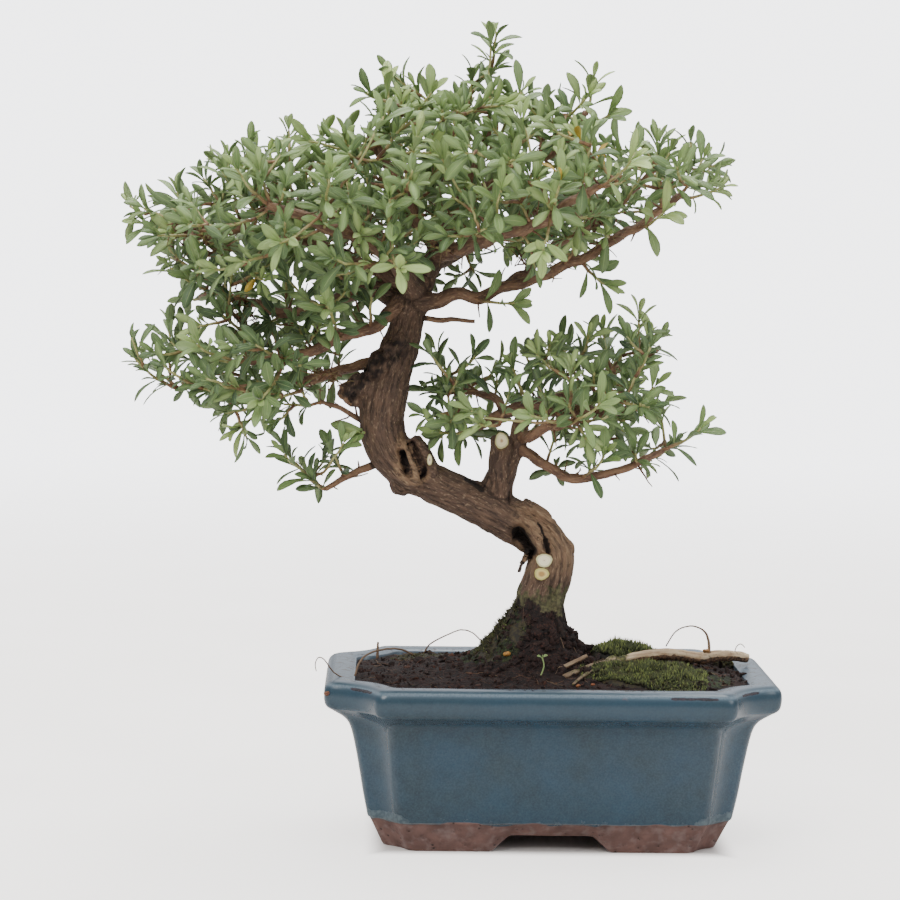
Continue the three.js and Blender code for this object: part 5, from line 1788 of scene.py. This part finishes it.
def leaf_form(columns):
    """Faces of one closed blade and its grid of upper and under points."""
    rows = len(LEAF_ROWS)
    top = np.arange(rows * columns).reshape(rows, columns)
    under = top.copy()
    inner = np.arange((rows - 2) * (columns - 2)).reshape(rows - 2, columns - 2)
    under[1:-1, 1:-1] = rows * columns + inner
    quads = []
    for grid, flip in ((top, False), (under, True)):
        a, b, c, d = grid[:-1, :-1], grid[:-1, 1:], grid[1:, 1:], grid[1:, :-1]
        quad = np.stack([a, d, c, b] if flip else [a, b, c, d], axis=-1).reshape(-1, 4)
        quads.append(quad)
    return np.vstack(quads)


def add_leaves(pile, rows, rng, columns=BROAD_COLUMNS, shape=LEAF_SHAPE):
    """Thin closed blades, widest past the middle, folded along the midrib, the tip bent back."""
    rows = np.asarray(rows)
    many = len(rows)
    joint, along, face = rows[:, 0:3], rows[:, 3:6], rows[:, 6:9]
    long, light, youth, yellow = rows[:, 9:].T
    across = np.cross(along, face)
    across_grid, along_grid = np.meshgrid(columns, LEAF_ROWS)
    half = np.interp(along_grid, LEAF_ROWS, LEAF_HALF)
    inner = (slice(1, -1), slice(1, -1))
    u = np.concatenate([along_grid.ravel(), along_grid[inner].ravel()])
    v = np.concatenate([across_grid.ravel(), across_grid[inner].ravel()])
    w = np.concatenate([half.ravel(), half[inner].ravel()])
    below = np.concatenate([np.zeros(along_grid.size), np.ones(along_grid[inner].size)])
    rim = (np.abs(v) == 1) | (u == 0) | (u == 1)
    width = long * shape * rng.uniform(0.84, 1.18, many) / 2
    fold = rng.uniform(0.05, 0.34, many)
    droop = rng.uniform(-0.02, 0.2, many)
    twist = rng.uniform(-0.35, 0.35, many)
    bow = rng.uniform(-0.06, 0.06, many)
    far = long[:, None] * u
    side = width[:, None] * v * w
    rise = fold[:, None] * np.abs(side) ** 1.2
    rise += long[:, None] * (0.1 * np.sin(u * math.pi * 0.8) - droop[:, None] * u ** 2)
    rise += side * twist[:, None] * u
    thick = 0.34 * (1 - 0.5 * u) * (1 - 0.6 * np.abs(v))
    rise -= below * thick
    side = side + bow[:, None] * long[:, None] * u ** 2
    points = (joint[:, None] + far[..., None] * along[:, None] + side[..., None] * across[:, None]
              + rise[..., None] * face[:, None])
    each = len(u)
    faces = (leaf_form(len(columns)) + each * np.arange(many)[:, None, None]).reshape(-1, 4)
    place = np.stack([v, u, np.where(rim, 0.5, below)], axis=-1)
    tone = np.stack([light, youth, yellow], axis=-1)
    pile.add(points.reshape(-1, 3), [faces], leaf_place=np.tile(place, (many, 1)),
             leaf_tone=np.repeat(tone, each, axis=0))


def add_twig(pile, twig, tone, rng, sides=5, spans=6):
    t = np.linspace(0, 1, spans + 1)
    points = twig.points(len(t))
    points[1:-1] += 0.022 * twig.length * rng.uniform(-1, 1, (spans - 1, 3))
    radius = twig.foot + (twig.tip - twig.foot) * t ** 0.8
    rise = np.concatenate([np.repeat(t, sides), [0, 1]])
    add_tube(pile, np.column_stack([points, radius]), sides, rise=rise, tone=tone)


def exposure(point):
    """How lit a leaf is by its place: more near the top and the outside of its mass."""
    return 0.36 + 0.27 * ease(point[2], 150, 230) + 0.14 * ease(abs(point[1]), 5, 50)


def spray_leaves(number, points):
    """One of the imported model's sprays: its leaves where that has them, and more pairs below."""
    base, *tips = points
    rng = np.random.default_rng(SPRAY_SEED + number)
    leaves = Leaves()
    twigs = []
    for index, tip in enumerate(tips):
        start = twigs[0].point(FORK_AT) if twigs else base
        twig = Twig(start, tip, 0.68 if index == 0 else 0.55)
        twigs.append(twig)
        key = number * 4 + index
        pairs = PAIRS_BELOW_TIP[:PAIRS_ON_FORK] if index else PAIRS_BELOW_TIP
        youth = rng.choice([0.05, 0.3, 0.85], p=(0.45, 0.35, 0.2))
        for pair, below in enumerate(pairs):
            turn = pair * math.pi / 2 + 0.3 * (draw(key, pair, 7) - 0.5)
            opening = 34 + 14 * min(pair, 2) + 10 * draw(key, pair, 3)
            for side in range(2):
                at = max(1 - (below + side * LEAF_PAIR_STEP) / twig.length, 0.3)
                shortest, longest = LEAF_LENGTH
                long = 0.87 * (shortest + (longest - shortest) * draw(key, pair, side))
                light = np.clip(exposure(twig.end) + rng.uniform(-0.25, 0.3), 0, 1)
                leaves.add_on(twig, at, turn + side * math.pi, opening, long, light,
                              youth * (1 - 0.3 * pair) * rng.uniform(0.6, 1))
        for pair, below in enumerate(FURTHER_PAIRS[0 if index == 0 else 1:], 3):
            at = 1 - below / twig.length
            if at < 0.22:
                break
            turn = pair * math.pi / 2 + rng.uniform(-0.3, 0.3)
            for side in range(2):
                if rng.random() < 0.2:
                    continue
                light = np.clip(exposure(twig.point(at)) + rng.uniform(-0.35, 0.15), 0, 1)
                leaves.add_on(twig, at, turn + side * math.pi, rng.uniform(55, 80),
                              rng.uniform(6.5, 10.5), light)
        for side in range(2):
            leaves.add_on(twig, 1, math.pi / 2 + side * math.pi, rng.uniform(14, 30),
                          rng.uniform(4.5, 7.5), np.clip(0.6 + rng.uniform(-0.2, 0.3), 0, 1),
                          max(youth, 0.35))
    return twigs, leaves


PAIR_STEPS = (1.5, 2.4, 3.1, 3.5, 3.8, 4, 4.2, 4.4, 4.6)


def shoot_leaves(twig, leaves, rng):
    """Leaves of a short shoot: a rosette at the tip and looser pairs down the twig."""
    youth = rng.choice([0.0, 0.25, 0.9], p=(0.5, 0.32, 0.18))
    lean = rng.uniform(0, math.pi)
    below = rng.uniform(0.2, 0.8)
    pair = 0
    while below < max(twig.length * 0.8, 5.5) and pair < len(PAIR_STEPS):
        at = max(1 - below / twig.length, 0.05)
        light = exposure(twig.point(at))
        spread = min(22 + 18 * pair, 78) + rng.uniform(-9, 9)
        for side in range(2):
            if pair > 1 and rng.random() < 0.12:
                continue
            long = (rng.uniform(4.5, 8), rng.uniform(6.5, 10), rng.uniform(6, 11.5))[min(pair, 2)]
            around = lean + pair * math.pi / 2 + side * math.pi + rng.uniform(-0.2, 0.2)
            # Leaves further down the shoot are painted darker, as painted shade.
            leaves.add_on(twig, at, around, spread, long,
                          np.clip(light + rng.uniform(-0.3, 0.3) - 0.05 * pair, 0, 1),
                          youth * max(1 - 0.28 * pair, 0) * rng.uniform(0.6, 1))
            if pair and rng.random() < 0.45:
                around = lean + (pair + 0.5) * math.pi / 2 + side * math.pi
                leaves.add_on(twig, at, around, rng.uniform(30, 65), rng.uniform(3.5, 6),
                              np.clip(light + rng.uniform(-0.2, 0.35), 0, 1), 0.6 * youth)
        below += PAIR_STEPS[pair] * rng.uniform(0.85, 1.2)
        pair += 1


def inside_outline(flat, outline):
    """Which flat points lie inside a closed outline."""
    inside = np.zeros(len(flat), dtype=bool)
    x, z = flat.T
    for (ax, az), (bx, bz) in zip(outline, outline[1:] + outline[:1]):
        crosses = ((az > z) != (bz > z)) & (x < (bx - ax) * (z - az) / (bz - az + 1e-9) + ax)
        inside ^= crosses
    return inside


def shoot_targets(outline, deep, spacing, seed):
    """Seeded places for shoot tips, evenly apart in a leafy mass that thins towards its outline."""
    rng = np.random.default_rng(seed)
    low = np.min(outline, axis=0)
    high = np.max(outline, axis=0)
    columns = np.arange(low[0], high[0], spacing)
    layers = np.arange(-deep, deep + 1, spacing * 0.87)
    rows = np.arange(low[1], high[1], spacing * 0.82)
    x, y, z = (part.ravel() for part in np.meshgrid(columns, layers, rows, indexing="ij"))
    layer = np.round((y + deep) / (spacing * 0.87))
    row = np.round((z - low[1]) / (spacing * 0.82))
    x = x + 0.5 * spacing * ((layer + row) % 2)
    places = np.column_stack([x, y, z]) + 0.33 * spacing * rng.uniform(-1, 1, (len(x), 3))
    flat = places[:, [0, 2]]
    gap = from_line(flat, outline + outline[:1]) - TIP_INSET
    depth = (deep - 3) * np.sqrt(np.clip(1 - (1 - np.clip(gap / 30, 0, 1)) ** 2, 0, 1)) + 2
    kept = inside_outline(flat, outline) & (gap > 0) & (np.abs(places[:, 1]) < depth)
    return places[kept]


def leafy_feet():
    """Places on the wood that shoots can grow from, the way the wood runs there and its limb."""
    feet, ways, owners = [], [], []
    crown = limb_path(TRUNK_LINE)
    crown = crown[crown[:, 2] > 168]
    for name, path in list(LIMB_PATHS.items()) + [("crown_right", crown)]:
        if name in ("cut_stub", "stub", "bare_twig_right"):
            continue
        start = int(0.22 * len(path)) if name != "low_twig" else len(path) // 2
        tangents = frames_along(path[:, :3])[0]
        feet.append(path[start::2, :3])
        ways.append(tangents[start::2])
        owners += [name] * len(path[start::2])
    return np.vstack(feet), np.vstack(ways), owners


def grow_shoots(spray_tips):
    """Short shoots that fill the leafy masses, each from the nearest wood or earlier shoot."""
    feet, ways, owners = leafy_feet()
    targets = np.vstack([shoot_targets(outline, deep, spacing, TARGET_SEED + k)
                         for k, (outline, deep, spacing) in enumerate(CLOUDS.values())])
    near_tip = np.min(np.linalg.norm(targets[:, None] - spray_tips, axis=2), axis=1)
    _, gap = wood.nearest(targets)
    targets = np.vstack([targets[(near_tip > TIP_GAP) & (gap > WOOD_GAP)], FURTHER_TIPS])
    order = np.argsort(np.min(np.linalg.norm(targets[:, None] - feet, axis=2), axis=1))
    shoots = []
    for target in targets[order]:
        step = target - feet
        reach = np.linalg.norm(step, axis=1)
        back = 1 - np.sum(step * ways, axis=1) / np.maximum(reach, 1e-6)
        cost = reach + 0.9 * np.maximum(-step[:, 2], 0) + 0.16 * reach * back
        k = int(np.argmin(cost))
        if reach[k] < LEAST_SHOOT:
            continue
        twig = Twig(feet[k], target, 0.5 + 0.012 * reach[k], sag=0.02 + 0.16 * draw(len(shoots), 5))
        shoots.append((owners[k], twig))
        feet = np.vstack([feet, [twig.point(t) for t in SHOOT_JOINTS]])
        ways = np.vstack([ways, [twig.tangent(t) for t in SHOOT_JOINTS]])
        owners += [owners[k]] * len(SHOOT_JOINTS)
    return shoots


def before_stub(points):
    """The room in front of the sawn stub, which stands bare."""
    away = np.abs(points[:, [0, 2]] - STUB_MIDDLE)
    return np.all(away < STUB_ROOM, axis=1) & (points[:, 1] < -3)


def turn_yellow(rows):
    """Marks the front leaf nearest to each yellowed place."""
    middle = along_leaf(rows, 0.5)
    for x, z in YELLOWED:
        away = np.hypot(middle[:, 0] - x, middle[:, 2] - z) + 0.2 * np.maximum(middle[:, 1] + 12, 0)
        k = np.argmin(away)
        if away[k] < 2.5:
            rows[k, 9] *= 0.85
            rows[k, 12] = 1
    return rows


def clear_of_wood(rows):
    """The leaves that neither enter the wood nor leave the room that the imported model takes."""
    foot, middle, tip = (along_leaf(rows, share) for share in (0, 0.55, 1))
    clear = (wood.nearest(middle)[1] > 1.0) & (wood.nearest(tip)[1] > 0.6)
    clear &= ~(before_stub(foot) | before_stub(middle) | before_stub(tip))
    inside = np.all((tip > ROOM_LOW + 1.5) & (tip < ROOM_HIGH - 1.0), axis=1)
    return rows[clear & inside]


def apart(rows, least, taken):
    """The leaves that keep their middles at least so far from those already taken."""
    kept = np.zeros(len(rows), dtype=bool)
    for k, row in enumerate(rows):
        middle = along_leaf(row, 0.6)
        cell = tuple(np.floor(middle / least).astype(int))
        near = (other for step in itertools.product((-1, 0, 1), repeat=3)
                for other in taken.get(tuple(np.add(cell, step)), ()))
        if all(np.linalg.norm(middle - other) >= least for other in near):
            taken.setdefault(cell, []).append(middle)
            kept[k] = True
    return rows[kept]


def finish_leaves(name, leaves, least, taken, rng, nodes=(), **form):
    """Makes one piece of the leaves that have room."""
    rows = clear_of_wood(np.array(leaves.rows))
    rows = turn_yellow(apart(rows, least, taken))
    pile = Pile()
    add_leaves(pile, rows, rng, **form)
    pile.finish(name, LEAF, "leaf", *nodes)


def add_tangles(pile):
    """Knots of dead, dark twigs inside the leafy masses."""
    rng = np.random.default_rng(79)
    for centre, spread in TANGLES:
        for _ in range(int(8 * spread)):
            start = centre + 0.45 * spread * rng.normal(size=3)
            way = unit(rng.normal(size=3) * (1, 1, 0.7))
            end = start + way * rng.uniform(0.5, 1.3) * spread
            twig = Twig(start, end, rng.uniform(0.18, 0.42), 0.12, sag=rng.uniform(-0.2, 0.2))
            add_twig(pile, twig, rng.uniform(0.8, 1.0), rng, sides=3, spans=3)


def add_spurs(pile):
    """Short bare spurs and dead twig ends along the limbs."""
    rng = np.random.default_rng(77)
    feet, ways, _ = leafy_feet()
    for k in rng.choice(len(feet), SPUR_COUNT, replace=False):
        out = unit(rng.normal(size=3) + 0.5 * ways[k] + 0.35 * UP)
        reach = rng.uniform(2.5, 9)
        start = feet[k] + out * 0.2
        end = start + out * reach
        spur = Twig(start, end, rng.uniform(0.3, 0.5), 0.16, sag=rng.uniform(-0.1, 0.1))
        add_twig(pile, spur, 1.0, rng, sides=4, spans=4)


def make_foliage():
    twig_pile = Pile()
    rng = np.random.default_rng(3)
    taken = {}
    tips = []
    for number, (name, points) in enumerate(SPRAYS.items()):
        twigs, leaves = spray_leaves(number, points)
        tips += [twig.end for twig in twigs]
        for twig in twigs:
            add_twig(twig_pile, twig, 0.1, rng)
        finish_leaves("leaves_" + name, leaves, SPRAY_LEAF_GAP, taken, rng, ["spray_" + name])
    grown = {}
    for owner, twig in grow_shoots(np.array(tips)):
        if np.any(before_stub(twig.points(9))):
            continue
        leaves = grown.setdefault(owner, Leaves())
        shoot_leaves(twig, leaves, rng)
        add_twig(twig_pile, twig, 0.25 * rng.random(), rng)
    for owner, leaves in grown.items():
        finish_leaves("shoots_on_" + owner, leaves, SHOOT_LEAF_GAP, taken, rng,
                      columns=SMALL_COLUMNS, shape=SMALL_SHAPE)
    add_spurs(twig_pile)
    add_tangles(twig_pile)
    twig_pile.finish("young_twigs", TWIG, "leaf")


make_foliage()


SEEDLING_STEM = [(-5.4, -24, 49, 0.24), (-3.7, -24, 51.8, 0.21), (-2.9, -24.1, 54.6, 0.2),
                 (-3.5, -24.3, 57.2, 0.2)]
# The way round the stem and the angle from it, in radians, and the length
SEEDLING_LEAVES = [(1.3, 1.2, 1.9), (4.5, 1.25, 1.7), (2.9, 0.6, 1.1)]


def make_seedling():
    """A weed seedling: a bent pale stem, two seed leaves and a young leaf."""
    rng = np.random.default_rng(8)
    stem = curve_through(SEEDLING_STEM, 6)
    pile = Pile()
    add_tube(pile, stem, 8, leaf_place=(0.4, 0.5, 0.5), leaf_tone=(0.7, 0.35, 0))
    top = stem[-1, :3]
    leaves = Leaves()
    for around, opening, long in SEEDLING_LEAVES:
        leaves.add(top - 0.1 * UP, UP, np.array([1.0, 0, 0]), around, opening, long, 0.5, 0.2)
    add_leaves(pile, leaves.rows, rng, shape=0.62)
    pile.finish("weed_seedling", LEAF, "seedling", "seedling")


make_seedling()


# Floor, sky and lamps

FLOOR_RADIUS = 1.7
FLOOR_GAP = 0.0001
FLOOR_FADE = (0.25, 1.5)
TABLE_GLOW = 1.95
BACKDROP = 4.7
LAMP_AIM = (-20, 0, 110)


def make_floor():
    """A pale table that fades into the backdrop far behind, with no edge in view from any side, and
    a painted shadow under the pot where its glow is cut out.
    """
    sides = 96
    ring = flat_points(*circle(sides)[1:]) * FLOOR_RADIUS
    points = np.vstack([ring, [(0, 0, 0)]]) + (POT_PLACE[0], POT_PLACE[1], cad_box[0].z - FLOOR_GAP)
    i = np.arange(sides)
    faces = [np.stack([i, (i + 1) % sides, np.full(sides, sides)], axis=-1)]
    bench = new_material("pale_table")
    place = bench.place()
    far = bench.node("VectorMath", {0: place}, operation="LENGTH").outputs["Value"]
    seen = bench.node("LightPath").outputs["Is Camera Ray"]
    x, y, _ = bench.parts(place)
    # Painted shadow: the glow is cut out under the pot's footprint.
    gaps = []
    for value, middle, length in ((x, POT_PLACE[0], POT_LENGTH), (y, POT_PLACE[1], POT_DEPTH)):
        half = length / 2 - FEET_INSET
        away = bench.math("ABSOLUTE", bench.math("SUBTRACT", value, middle))
        gaps.append(bench.span(away, (half - 7) * MM, (half + 1.5) * MM))
    table_glow_with_painted_shadow = bench.times(seen, TABLE_GLOW, bench.math("MAXIMUM", *gaps))
    colour = bench.mix(bench.patches(place, 60.0, 0.35, 0.65), "dedad6", "e4e1de")
    material = bench.finish(colour, 0.8, Alpha=bench.span(far, *FLOOR_FADE, 1.0, 0.0),
                            Specular_IOR_Level=0.2, Emission_Color="f2efec",
                            Emission_Strength=table_glow_with_painted_shadow)
    make_object("table", points, faces, material)


def make_lamp(name, place, wide, power, tint):
    lamp = bpy.data.lights.new(name, "AREA")
    lamp.shape = "DISK"
    lamp.size = wide
    lamp.energy = power
    lamp.color = tint
    start, end = Vector(to_frame(place)), Vector(to_frame(LAMP_AIM))
    turn = (end - start).to_track_quat("-Z", "Y").to_matrix().to_4x4()
    show(name, lamp).matrix_world = Matrix.Translation(start) @ turn


def make_light():
    """A white backdrop, a soft sky that is brightest overhead and behind, and three softboxes."""
    world = bpy.data.worlds.new("pale_studio")
    world.use_nodes = True
    bench = Bench(world.node_tree)
    way = bench.parts(bench.node("TexCoord").outputs["Generated"])
    overhead = bench.span(way[2], -0.1, 0.9, 0.28, 1.1)
    behind = bench.span(way[1], -0.2, 1.0, 0.0, 0.4)
    sky = bench.math("ADD", overhead, behind)
    seen = bench.node("LightPath").outputs["Is Camera Ray"]
    surface = world.node_tree.nodes["Background"].inputs
    bench.feed(surface["Color"], "f1f1f4")
    bench.feed(surface["Strength"], bench.node("Mix", {0: seen, 2: sky, 3: BACKDROP}).outputs[0])
    bpy.context.scene.world = world
    make_lamp("softbox_left", (-700, -900, 1100), 0.9, 14, (1.0, 0.98, 0.95))
    make_lamp("softbox_right", (900, -800, 700), 0.8, 5, (0.96, 0.98, 1.0))
    make_lamp("softbox_top", (-100, 300, 1300), 1.0, 15, (1.0, 1.0, 1.0))


make_floor()
make_light()
